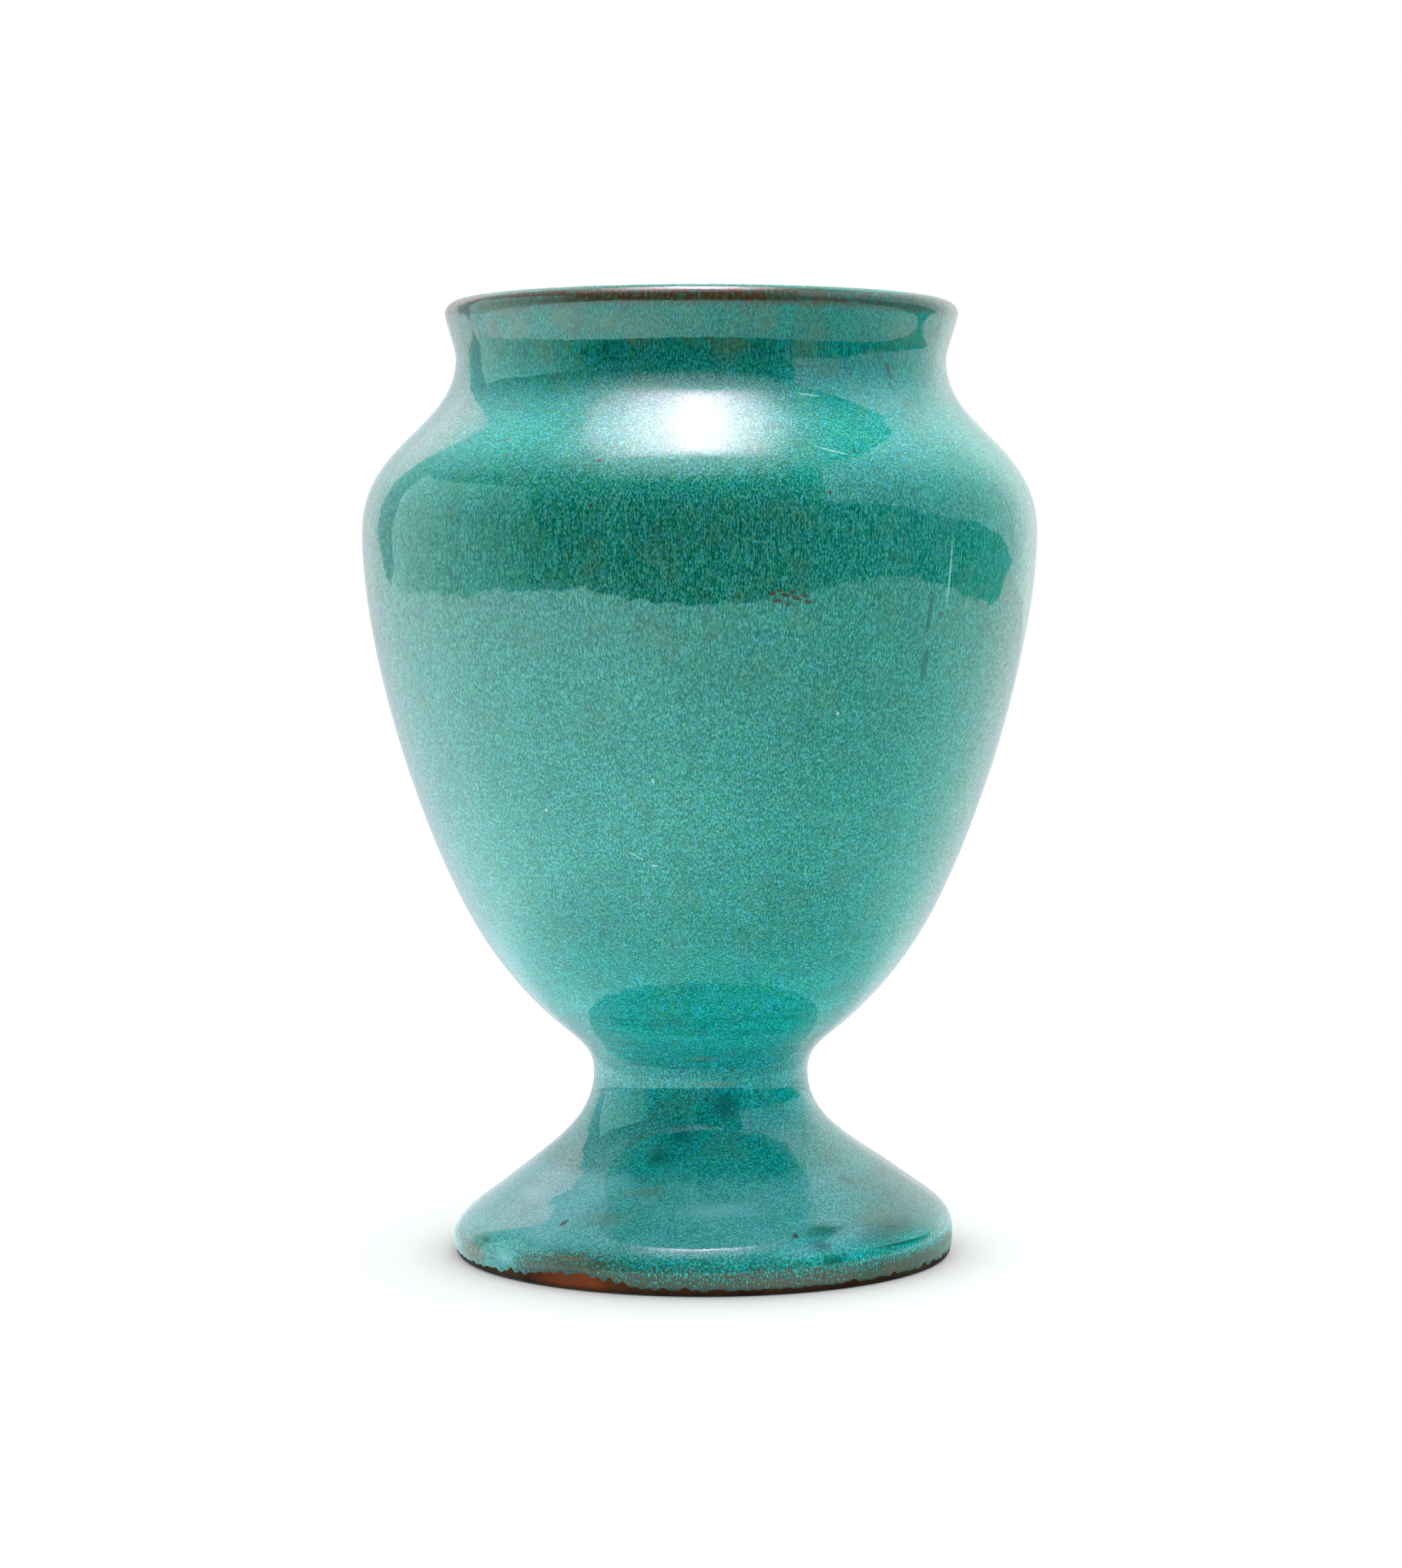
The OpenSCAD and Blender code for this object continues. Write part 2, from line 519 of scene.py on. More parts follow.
    def foot_inside(self) -> np.ndarray:
        """Hollow of the foot from the standing ring up through the stem.

        Returns:
            Rows of radius and height.
        """
        turned = 180 - self.flank_slope
        hollow_r = self.ring_r - self.ring_w
        flank = self.flank - self.foot_wall * square_to(turned)
        ring = np.array([hollow_r, self.ring_round])
        bore = np.array([self.bore_r, self.waist_z])
        hollow = Curve(ring, 180 - self.hollow_slope, flank, turned, self.hollow_pull)
        rows = [
            arc(270, 180, 6) * self.ring_round + np.array([hollow_r + self.ring_round, self.ring_round]),
            hollow.laid(0, self.hollow_spacing),
            Curve(flank, turned, bore, 90, self.stem_pull).laid(0, self.hollow_spacing),
            np.array([self.bore_r, self.foot_h]),
        ]
        return np.vstack(rows)

    def bowl_outside(self, coat: float) -> np.ndarray:
        """Outside of the bowl from its base to the lip's outer edge.

        Args:
            coat: Distance from the clay.

        Returns:
            Rows of radius and height.
        """
        base = np.array([self.base_r, self.base_z])
        lip = np.array([self.lip_r, self.lip_z])
        curves = [
            Curve(base, self.seam_slope, self.cheek, self.cheek_slope, self.base_pull),
            Curve(self.cheek, self.cheek_slope, self.shoulder.start, 90, self.wall_pull),
            self.shoulder,
            Curve(self.shoulder.end, 90, lip, 90, self.neck_pull),
        ]
        start = base + coat * square_to(self.seam_slope)
        return np.vstack([start, *[curve.laid(coat, self.spacing) for curve in curves]])

    def bowl_inside(self, coat: float) -> np.ndarray:
        """Inside of the bowl from the middle of its floor up to the lip's inner edge.

        Args:
            coat: Distance from the clay.

        Returns:
            Rows of radius and height.
        """
        cheek = self.cheek - self.cheek_wall * square_to(self.cheek_slope)
        belly = np.array([self.belly_r - self.wall, self.belly_z])
        neck = np.array([self.neck_r - self.wall, self.neck_z])
        lip = np.array([self.lip_r - 2 * self.lip_roll, self.lip_z])
        floor = np.array([0.0, self.floor_z])
        rows = [
            floor + np.array([0, coat]),
            Curve(floor, 0, cheek, self.cheek_slope, self.floor_pull).laid(-coat, self.loose_spacing),
            Curve(cheek, self.cheek_slope, belly, 90, self.wall_pull).laid(-coat, self.loose_spacing),
            self.shoulder.laid(-self.wall - coat, self.loose_spacing),
            Curve(neck, 90, lip, 90, self.neck_pull).laid(-coat, self.spacing),
        ]
        return np.vstack(rows)

    def roll(self, coat: Any, start: float, end: float, steps: int) -> np.ndarray:
        """Round lip between two angles above the outward horizontal.

        Args:
            coat: Distance from the clay, one number or one for each point.
            start: First angle.
            end: Last angle.
            steps: Number of stretches.

        Returns:
            Rows of radius and height, without the first angle.
        """
        reach = self.lip_roll + np.broadcast_to(coat, steps)
        middle = np.array([self.lip_r - self.lip_roll, self.lip_z])
        return middle + reach[:, None] * arc(start, end, steps)[1:]


@dataclass(frozen=True)
class ThrownShape:
    """How the hand-thrown form leaves a true solid of revolution."""

    lean_heights: tuple[float, ...] = (0.0, 0.018, 0.04, 0.062, 0.12, 0.2, 0.238, 0.25)
    lean_offsets: tuple[float, ...] = (1.03, 1.03, 0.45, 0.3, 0.0, 0.0, 0.5, 0.55)
    plate_tilt: float = 1.5 * MM
    plate_reach: float = 66 * MM
    lump: float = 0.05 * MM
    lump_lengths: Pair = (50 * MM, 140 * MM)
    lumps: int = 14
    seed: int = 11

    def lean(self, height: np.ndarray) -> np.ndarray:
        """Sideways offset of the form at a height."""
        return np.interp(height, self.lean_heights, self.lean_offsets) * MM

    def _tilt(self, height: np.ndarray) -> np.ndarray:
        """Share of the plate's tilt that shows at a height."""
        rise = 0.4 * smoothstep(height, 0.0012, 0.004) + 0.6 * smoothstep(height, 0.004, 0.01)
        return rise * (1 - smoothstep(height, 0.02, 0.046))

    def place(self, radius: np.ndarray, height: np.ndarray, angle: np.ndarray) -> np.ndarray:
        """Places of the form's points.

        Args:
            radius: Distance from the axis.
            height: Height above the table.
            angle: Angle round the vase, in radians.

        Returns:
            An array with x, y and z in its last axis.
        """
        radius, height, angle = np.broadcast_arrays(radius, height, angle)
        draw = np.random.default_rng(self.seed)
        swell = np.zeros(radius.shape)
        for _ in range(self.lumps):
            turns = draw.integers(1, 5)
            length = draw.uniform(*self.lump_lengths)
            phase, start = draw.uniform(0, 2 * math.pi, 2)
            swell += np.cos(turns * angle + phase) * np.sin(2 * math.pi * height / length + start)
        swell *= self.lump * math.sqrt(4 / self.lumps) * smoothstep(height, 0.004, 0.03)
        swell *= smoothstep(radius, 0.0, 0.02) * (1 - smoothstep(height, 0.225, 0.245))
        tilt = self.plate_tilt * radius * np.sin(angle) / self.plate_reach
        reach = radius + swell
        x = reach * np.sin(angle) + self.lean(height)
        return np.stack([x, -reach * np.cos(angle), height + tilt * self._tilt(height)], -1)


@dataclass(frozen=True)
class GlazeFlow:
    """Faint swell of the molten glaze, which breaks up its reflections."""

    waves: int = 56
    across: Pair = (3.5 * MM, 8 * MM)
    upward: Pair = (5 * MM, 14 * MM)
    rise: float = 6.5e-6
    seed: int = 5

    def height(self, places: np.ndarray) -> np.ndarray:
        """Swell of the glaze at each place, in metres.

        Args:
            places: Array with x, y and z in its last axis.

        Returns:
            The swell, above and below zero.
        """
        draw = np.random.default_rng(self.seed)
        turn = draw.uniform(0, 2 * math.pi, self.waves)
        flat = 2 * math.pi / draw.uniform(*self.across, self.waves)
        steep = 2 * math.pi / draw.uniform(*self.upward, self.waves)
        steep = steep * draw.uniform(-1, 1, self.waves)
        phase = draw.uniform(0, 2 * math.pi, self.waves)
        turns = np.stack([flat * np.cos(turn), flat * np.sin(turn), steep])
        swell = np.zeros(places.shape[:-1])
        for wave in range(self.waves):
            swell += np.sin(places @ turns[:, wave] + phase[wave])
        return swell * self.rise * math.sqrt(2 / self.waves)


def turned_mesh(name: str, places: np.ndarray, poles: tuple[int, ...] = ()) -> bpy.types.Object:
    """Closed mesh from rows of points round the vase.

    Args:
        name: The piece's name.
        places: Rows, angles and x, y, z. The last row joins the first.
        poles: Rows that are one point on the axis.

    Returns:
        The new object.
    """
    rows, count = places.shape[:2]
    index = np.arange(rows * count).reshape(rows, count)
    for pole in poles:
        places[pole] = places[pole].mean(0)
        index[pole] = index[pole, 0]
    used, packed = np.unique(index, return_inverse=True)
    packed = packed.reshape(rows, count)
    points = places.reshape(-1, 3)[used]
    faces: list[tuple[int, ...]] = []
    for low in range(rows):
        high = (low + 1) % rows
        if low in poles and high in poles:
            continue
        a, b = packed[low], packed[high]
        a_next, b_next = np.roll(a, -1), np.roll(b, -1)
        if low in poles:
            corners = (a, b_next, b)
        elif high in poles:
            corners = (a, a_next, b)
        else:
            corners = (a, a_next, b_next, b)
        faces += list(zip(*[corner.tolist() for corner in corners]))
    mesh = bpy.data.meshes.new(name)
    mesh.from_pydata(points.tolist(), [], faces)
    mesh.shade_smooth()
    mesh.set_sharp_from_angle(angle=math.radians(SHARP_ANGLE))
    piece = bpy.data.objects.new(name, mesh)
    bpy.context.scene.collection.objects.link(piece)
    return piece


# Finishes


class Mark(Enum):
    """Kinds of small places on the glaze: colour, roughness and strength."""

    IRON = ((0.06, 0.026, 0.008), 0.2, 0.92)
    BROWN = ((0.17, 0.105, 0.035), 0.15, 0.7)
    HAZE = ((0.15, 0.2, 0.09), 0.0, 0.42)
    MILK = ((0.26, 0.66, 0.72), 0.0, 0.5)
    # Pale marks are pits with a painted glint, and painted reflections
    PALE_PITS_AND_REFLECTIONS = ((0.42, 0.7, 0.64), 0.0, 0.7)
    BRIGHT = ((0.03, 0.62, 0.56), 0.05, 0.85)
    # Green marks are dark green spots, and a painted dark reflection
    GREEN_AND_DARK_REFLECTION = ((0.0, 0.075, 0.05), 0.0, 0.8)
    POOL = ((0.0, 0.1, 0.1), 0.0, 0.72)


@dataclass(frozen=True)
class Spot:
    """One place on the glaze, in degrees and millimetres. Its width and length are halves."""

    angle: float
    height: float
    width: float
    length: float
    lean: float = 0.0
    soft: float = 0.3


SPOTS: dict[Mark, tuple[tuple[float, ...], ...]] = {
    Mark.IRON: (
        (46, 230.3, 0.7, 1.8, -14), (46.4, 228.2, 0.5, 0.9, -30), (45.3, 226.2, 0.5, 0.6),
        (11.6, 174.4, 1, 0.6), (12.7, 175.1, 0.9, 0.5), (13.6, 174.1, 1.4, 0.6, 8),
        (14.8, 174.8, 0.8, 0.5), (12.4, 172.7, 1.4, 0.6, -10), (15.6, 173.3, 1.6, 0.6, 12),
        (16.9, 173.9, 1, 0.6), (17.6, 172.4, 1.3, 0.5, 6), (14.1, 171.8, 0.8, 0.5),
        (-17.2, 195.5, 0.6, 0.6), (21.2, 198.7, 0.5, 0.6), (-16.8, 206.4, 0.6, 0.5),
        (27.4, 208.9, 0.5, 0.5), (43.2, 169.2, 0.6, 0.7), (-37.9, 15.8, 1.2, 0.7, -30),
        (22.2, 13.2, 0.8, 0.6), (-77.5, 54.2, 0.7, 0.5), (-73.6, 46.6, 0.6, 0.6),
        (-69.5, 40.8, 0.5, 0.6),
    ),
    Mark.BROWN: (
        (-36.9, 212, 0.6, 0.6), (-35, 208.1, 0.7, 0.5), (-46.7, 212, 0.6, 0.6), (-60.9, 127, 0.8, 1.4),
        (-58.5, 122, 0.6, 1), (-60.1, 117.3, 0.6, 0.8), (-59.1, 146.6, 0.7, 1),
        (-31, 8.6, 8, 0.8, 0, 1), (-66, 5.4, 13, 3.4, 0, 1), (74, 5.2, 11, 2.2, 0, 1),
    ),
    Mark.HAZE: (
        (-19, 22.7, 11, 2.8, -14, 1), (-26, 17, 13, 6.5, -24, 1), (47, 14, 15, 7.5, -24, 1),
        (-32, 241.8, 7.5, 3.4, 0, 1), (-21, 240.8, 4.5, 4, 0, 1), (-44, 240.5, 6, 3, 0, 1),
        (-64, 9.8, 11, 3.4, 0, 1), (8, 47.8, 8, 1.2, 0, 1), (0.5, 54.9, 7.5, 0.7, 0, 1),
    ),
    Mark.MILK: (
        (-50, 6.6, 6, 3.4, 0, 1), (-60, 20, 16, 9, -30, 1), (4, 19, 16, 5, 0, 1),
    ),
    # Pale marks: the dashes at 23 degrees on the shoulder and the long line at 44.5 degrees are painted
    # reflections; the small dots are pits with a painted glint
    Mark.PALE_PITS_AND_REFLECTIONS: (
        (-12.9, 110.1, 0.2, 3.4, -62, 0.6), (-9.3, 107.6, 1, 0.3), (-8.4, 128.9, 0.3, 0.8),
        (23, 222.9, 4, 0.2, 6, 0.6), (23.4, 208.8, 6, 0.2, 14, 0.6), (44.5, 180, 0.4, 11, 1, 0.7),
        (24.3, 145.3, 0.5, 0.5), (-30.5, 121, 0.5, 0.5),
    ),
    Mark.BRIGHT: (
        (-13.7, 210.7, 0.7, 0.6),
    ),
    # Green marks: the two long lines near 41 degrees on the belly are a painted reflection of a dark
    # cord; the rest are dark green spots
    Mark.GREEN_AND_DARK_REFLECTION: (
        (-56, 226.3, 0.3, 2, -30), (70.2, 144.2, 0.9, 0.9), (40.7, 170, 1, 7.2, 3, 0.5),
        (41, 157, 1.4, 6.2, 4, 0.5), (-59.9, 9.6, 2.2, 0.8, 0, 0.6), (51.5, 8.2, 16.5, 0.5, 0, 0.6),
        (27.5, 10.4, 5.4, 2.4, 0, 1), (30, 7, 6, 2.2, 0, 1), (30, 13.5, 10, 3.4, 0, 1),
        (50, 11.8, 17, 4, -6, 1), (42.4, 241.6, 0.3, 4, 0, 0.5),
    ),
    Mark.POOL: (
        (-17.5, 30, 4, 6.6, 24, 1), (-9, 35, 5, 4.4, 0, 1), (12.5, 42.5, 6, 6, 0, 1),
        (50, 22.5, 3.4, 6, -20, 1),
    ),
}

# Angle round the vase and height of the coat's lower edge in millimetres
GLAZE_LINE: Levels = (
    (-180, 2.8), (-150, 2.4), (-120, 3.0), (-90, 1.9), (-66, 1.6), (-50, 2.4), (-36, 4.2), (-28, 4.9),
    (-22, 4.0), (-17, 2.4), (-8, 1.9), (6, 1.7), (20, 1.6), (40, 1.6), (60, 1.7), (90, 2.2), (130, 2.8),
    (180, 2.8),
)
# Height over the coat's edge as a share of EDGE_SPAN, plus 0.1, and how thin the glaze is there
FOOT_THIN: Levels = (
    (0.0, 1.0), (0.1, 1.0), (0.2, 0.92), (0.35, 0.78), (0.5, 0.66), (0.6, 0.54), (0.72, 0.32),
    (0.85, 0.12), (1.0, 0.0),
)
# Share of a turn round the vase, and the factor on that thinness
THIN_ROUND: Levels = (
    (0.0, 1.0), (0.25, 1.0), (0.33, 0.95), (0.346, 0.32), (0.365, 0.28), (0.385, 0.85), (0.41, 0.95),
    (0.45, 0.86), (0.6, 0.9), (0.68, 1.25), (0.8, 1.25), (1.0, 1.0),
)


@dataclass(frozen=True)
class GlazeFinish:
    """Glossy turquoise glaze with fine lighter flecks over darker gaps."""

    name: str
    gap: Colour = (0.0, 0.125, 0.086)
    body: Colour = (0.003, 0.265, 0.2)
    fleck: Colour = (0.085, 0.5, 0.455)
    olive: Colour = (0.11, 0.135, 0.045)
    moss: Colour = (0.028, 0.04, 0.018)
    rust: Colour = (0.07, 0.026, 0.008)
    flank_bloom_and_light: Colour = (0.09, 0.44, 0.45)
    flank_milk_and_light: Colour = (0.26, 0.72, 0.8)
    shade: Colour = (0.0, 0.085, 0.06)
    smear: Colour = (0.078, 0.092, 0.036)
    earth: tuple[Colour, Colour] = ((0.075, 0.046, 0.02), (0.12, 0.054, 0.022))
    edge: Colour = (0.022, 0.012, 0.006)
    flecks: float = 3600.0
    long_flecks: float = 3000.0
    dots: float = 2000.0
    gloss_roughness: float = 0.035
    ior: float = 1.5
    coat_share: float = 0.62
    coat_ior: float = 1.38
    relief: float = 1.0e-6

    def build(self, shape: ThrownShape, outline: VaseOutline, spots: bool) -> bpy.types.Material:
        """Makes the glaze's material.

        Args:
            shape: The thrown shape, which places the spots.
            outline: The vase's sizes.
            spots: Whether the named spots and the breaks at the edges show.

        Returns:
            The material.
        """
        paint = GlazePaint(self)
        paint.tint()
        paint.uneven()
        paint.flank()
        paint.specks()
        if spots:
            paint.lip()
            paint.foot()
            paint.spots(shape, outline)
        return paint.finished()


class GlazePaint:
    """Layers of the glaze's material, laid one over the other."""

    def __init__(self, finish: GlazeFinish) -> None:
        """Starts with the flecks and the gaps between them.

        Args:
            finish: The glaze's colours and measures.
        """
        self.finish = finish
        self.graph = graph = Graph(bpy.data.materials.new(finish.name))
        self.place = graph.coordinates()
        self.height = graph.axis(self.place, "Z")
        self.share = self._flecks()
        self.crystal = graph.smooth(self.share, 0.33, 0.67)
        stops = [(0.0, finish.gap), (0.5, finish.body), (1.0, finish.fleck)]
        self.colour = graph.ramp(self.crystal, stops)
        self.rough: Any = finish.gloss_roughness
        self.coat = finish.coat_share * self.crystal

    @functools.cached_property
    def broad(self) -> Value:
        """Broad patches, which the lip and the foot share."""
        return self.graph.noise(self.place, 38.0)

    def _lay(self, share: Any, colour: Any, blend: str = "MIX") -> None:
        """Lays a colour over the ones so far."""
        self.colour = self.graph.mix(share, self.colour, colour, blend)

    def _flecks(self) -> Value:
        """Share of light fleck at each place, drawn out downwards on the wall.

        Returns:
            0 in the gaps and 1 in the flecks.
        """
        graph, place = self.graph, self.place
        runs = graph.noise(place, self.finish.flecks, 1.5, 0.6, (1.0, 1.0, 0.3))
        long_runs = graph.noise(place, self.finish.long_flecks, 1.0, stretch=(1.0, 1.0, 0.055))
        runs = runs + 0.42 * (long_runs - 0.5)
        dots = graph.noise(place, self.finish.dots, 1.5)
        stops = [
            (0.0, 0.75), (0.2, 0.75), (0.28, 0.5), (0.42, 0.15), (0.78, 0.1), (0.86, 0.6), (0.93, 0.1),
        ]
        return graph.mix(graph.level(self.height * PER_HEIGHT, stops), runs, dots)

    def tint(self) -> None:
        """Leans the glaze bluer on the foot and greener above, with bands of painted light and shade."""
        # The lighter stops at 0.83 and 0.865, on the shoulder, are painted light; the darker ones from
        # 0.7 to 0.8, round the belly, are painted shade
        stops = [
            (0.0, (0.6, 1.2, 1.4)), (0.055, (0.54, 1.32, 1.58)), (0.1, (0.36, 1.17, 1.4)),
            (0.15, (0.15, 0.99, 1.2)), (0.21, (0.26, 1.00, 1.25)), (0.235, (0.42, 1.28, 1.54)),
            (0.29, (0.5, 1.2, 1.4)), (0.36, (0.95, 0.95, 1.04)), (0.5, (0.98, 0.89, 0.93)),
            (0.7, (0.8, 0.77, 0.76)), (0.76, (0.7, 0.72, 0.72)), (0.8, (0.8, 0.8, 0.82)),
            (0.83, (0.98, 0.94, 1.02)), (0.865, (0.92, 1.03, 1.2)), (0.94, (0.12, 0.62, 0.64)),
        ]
        self._lay(1.0, self.graph.ramp(self.height * PER_HEIGHT, stops), "MULTIPLY")

    def uneven(self) -> None:
        """Lays the runs, rings, clouds and olive patches."""
        graph, place, height = self.graph, self.place, self.height
        runs = graph.noise(place, 240.0, 3.0, stretch=(1.0, 1.0, 0.05))
        rings = graph.noise(place, 330.0, 3.0, stretch=(0.06, 0.06, 1.0))
        clouds = graph.noise(place, 34.0, 3.0, 0.55)
        joint = graph.smooth(height, 0.046, 0.054) * graph.smooth(height, 0.078, 0.062)
        grooves = graph.noise(place, 1100.0, 1.0, stretch=(0.03, 0.03, 1.0))
        tone = 0.56 + 0.34 * runs + 0.16 * rings + 0.34 * clouds + 0.7 * joint * (grooves - 0.5)
        self._lay(1.0, graph.channels(tone, tone, tone), "MULTIPLY")
        hue = graph.smooth(graph.noise(place, 620.0, 3.0, 0.6), 0.4, 0.62)
        self._lay(1.0, graph.mix(hue, (1.1, 1.02, 0.84), (0.9, 1.0, 1.12)), "MULTIPLY")
        patches = graph.smooth(graph.noise(place, 95.0, 4.0, 0.6), 0.48, 0.66)
        stops = [
            (0.0, 0.1), (0.24, 0.14), (0.55, 0.08), (0.68, 0.16), (0.8, 0.08), (0.9, 0.16), (0.96, 0.4),
        ]
        self._lay(patches * graph.level(height * PER_HEIGHT, stops), self.finish.olive)

    def flank(self) -> None:
        """Lays a pale band on the foot's flank, glaze tone and painted light below the belly's shadow,
        green at its right.
        """
        graph, place = self.graph, self.place
        edge = 0.004 * graph.noise(place, 120.0, 3.0) - 0.002
        rise = self.height + edge
        # Painted light: the band stops where the belly's shadow on the foot begins
        band = graph.smooth(rise, 0.0275, 0.0235) * graph.smooth(rise, 0.007, 0.012)
        milky_and_lit = band * (0.35 + 0.65 * graph.smooth(graph.noise(place, 42.0, 3.0, 0.6), 0.3, 0.68))
        left = graph.smooth(graph.axis(place, "X"), 0.02, -0.045)
        right = graph.smooth(graph.axis(place, "X"), 0.03, 0.052)
        flank_bloom_and_light = graph.mix(self.crystal, self.finish.flank_bloom_and_light, self.finish.flank_milk_and_light)
        # More painted light on the left; less on the right, where a darker green is laid
        self._lay((0.5 + 0.3 * left - 0.42 * right) * milky_and_lit, flank_bloom_and_light)
        self._lay(right * band * 0.55, self.finish.shade)

    def specks(self) -> None:
        """Strews a few iron specks."""
        graph, place = self.graph, self.place
        speck = graph.node("ShaderNodeTexVoronoi", {"feature": "F1"}, {"Vector": place, "Scale": 95.0})
        few = graph.smooth(graph.noise(place, 60.0, 0.0), 0.55, 0.6)
        speck = graph.smooth(speck, 0.055, 0.03) * few
        self._lay(speck * 0.8, Mark.IRON.value[0])
        self.rough = self.rough + 0.25 * speck

    def lip(self) -> None:
        """Lays brown and olive where the glaze runs thin at the lip."""
        graph, place, height = self.graph, self.place, self.height
        fine = graph.noise(place, 1300.0, 3.0, 0.65, (1.0, 1.0, 0.1))
        left = graph.smooth(graph.axis(place, "X"), 0.012, -0.03)
        reach = 0.0016 + 0.0045 * left * graph.smooth(self.broad, 0.38, 0.6)
        under = graph.smooth(height + reach * (2.4 * fine - 1.2), 0.244, 0.2456)
        under = under * graph.smooth(height + 0.0005 * fine, 0.2497, 0.2488)
        radius = graph.vector("LENGTH", graph.vector("MULTIPLY", place, (1, 1, 0)), output="Value")
        under = under * graph.smooth(radius, 0.064, 0.0652)
        mottle = graph.noise(place, 1500.0, 3.0, 0.6, (1.0, 1.0, 0.6))
        thin = under * (0.46 + 0.5 * graph.smooth(mottle, 0.38, 0.56))
        rusty = graph.smooth(mottle + 0.5 * self.broad + 0.2 * left, 0.6, 0.78)
        self._lay(thin, graph.mix(rusty, self.finish.moss, self.finish.rust))
        smear = graph.noise(place, 110.0, 5.0, 0.68, (1.0, 1.0, 0.6))
        smear = graph.smooth(smear, 0.46, 0.64) * graph.smooth(height, 0.235, 0.241)
        smear = smear * (0.18 + 0.62 * left) * graph.smooth(height, 0.2466, 0.245)
        self._lay(smear, self.finish.smear)
        self.rough = self.rough + 0.08 * thin

    def foot(self) -> None:
        """Lays brown where the glaze runs thin along the foot's lower edge."""
        graph, height, turn = self.graph, self.height, self.graph.turn()
        stops = [(0.5 + angle / 360, rise * MM / EDGE_SPAN) for angle, rise in GLAZE_LINE]
        line = graph.level(turn, stops)
        rise = (height - EDGE_SPAN * line) / EDGE_SPAN
        thin = graph.level(rise + 0.1, FOOT_THIN) * graph.level(turn, THIN_ROUND)
        speckle = graph.smooth(graph.noise(self.place, 2500.0, 3.0, 0.62, (1.0, 1.0, 0.5)), 0.33, 0.67)
        bare = graph.smooth(speckle - 1.15 * thin, 0.22, -0.24)
        earth = graph.mix(graph.smooth(self.broad, 0.4, 0.6), *self.finish.earth)
        self._lay(bare * 0.92, graph.mix(graph.smooth(rise, 0.12, 0.0), earth, self.finish.edge))
        self.rough = self.rough + 0.26 * bare
        self.coat = self.coat * (1.0 - bare)

    def spots(self, shape: ThrownShape, outline: VaseOutline) -> None:
        """Lays the named spots.

        Args:
            shape: The thrown shape.
            outline: The vase's sizes.
        """
        graph = self.graph
        profile = np.vstack([outline.foot_outside(0, 1 * MM), outline.bowl_outside(0)])
        profile = profile[np.argsort(profile[:, 1])]
        ragged = 0.45 * graph.noise(self.place, 1700.0) - 0.225
        for kind, rows in SPOTS.items():
            masks = []
            for spot in (Spot(*row) for row in rows):
                height, turn = spot.height * MM, math.radians(spot.angle)
                radius = np.interp(height, profile[:, 1], profile[:, 0])
                sockets = {
                    "Vector": self.place,
                    "Location": Vector(shape.place(radius, height, turn).tolist()),
                    "Rotation": (0.0, math.radians(spot.lean), turn),
                    "Scale": (2 * spot.width * MM, SPOT_DEPTH, 2 * spot.length * MM),
                }
                inside = graph.node("ShaderNodeMapping", {"vector_type": "TEXTURE"}, sockets)
                ball = {"gradient_type": "SPHERICAL"}
                inside = graph.node("ShaderNodeTexGradient", ball, {"Vector": inside}, "Fac")
                masks.append(graph.smooth(inside - ragged, 0.5, 0.5 + spot.soft / 2))
            mask = functools.reduce(Value.most, masks)
            tint, grip, strength = kind.value
            self._lay(mask * strength, tint)
            self.rough = self.rough + mask * grip

    def finished(self) -> bpy.types.Material:
        """Ends the layers with the glossy surface.

        Returns:
            The material.
        """
        sockets = {
            "Base Color": self.colour,
            "Roughness": self.rough,
            "IOR": self.finish.ior,
            "Coat Weight": self.coat,
            "Coat Roughness": self.finish.gloss_roughness,
            "Coat IOR": self.finish.coat_ior,
            "Normal": self.graph.bump(self.share, self.finish.relief),
        }
        self.graph.surface(self.graph.node("ShaderNodeBsdfPrincipled", None, sockets))
        return self.graph.owner


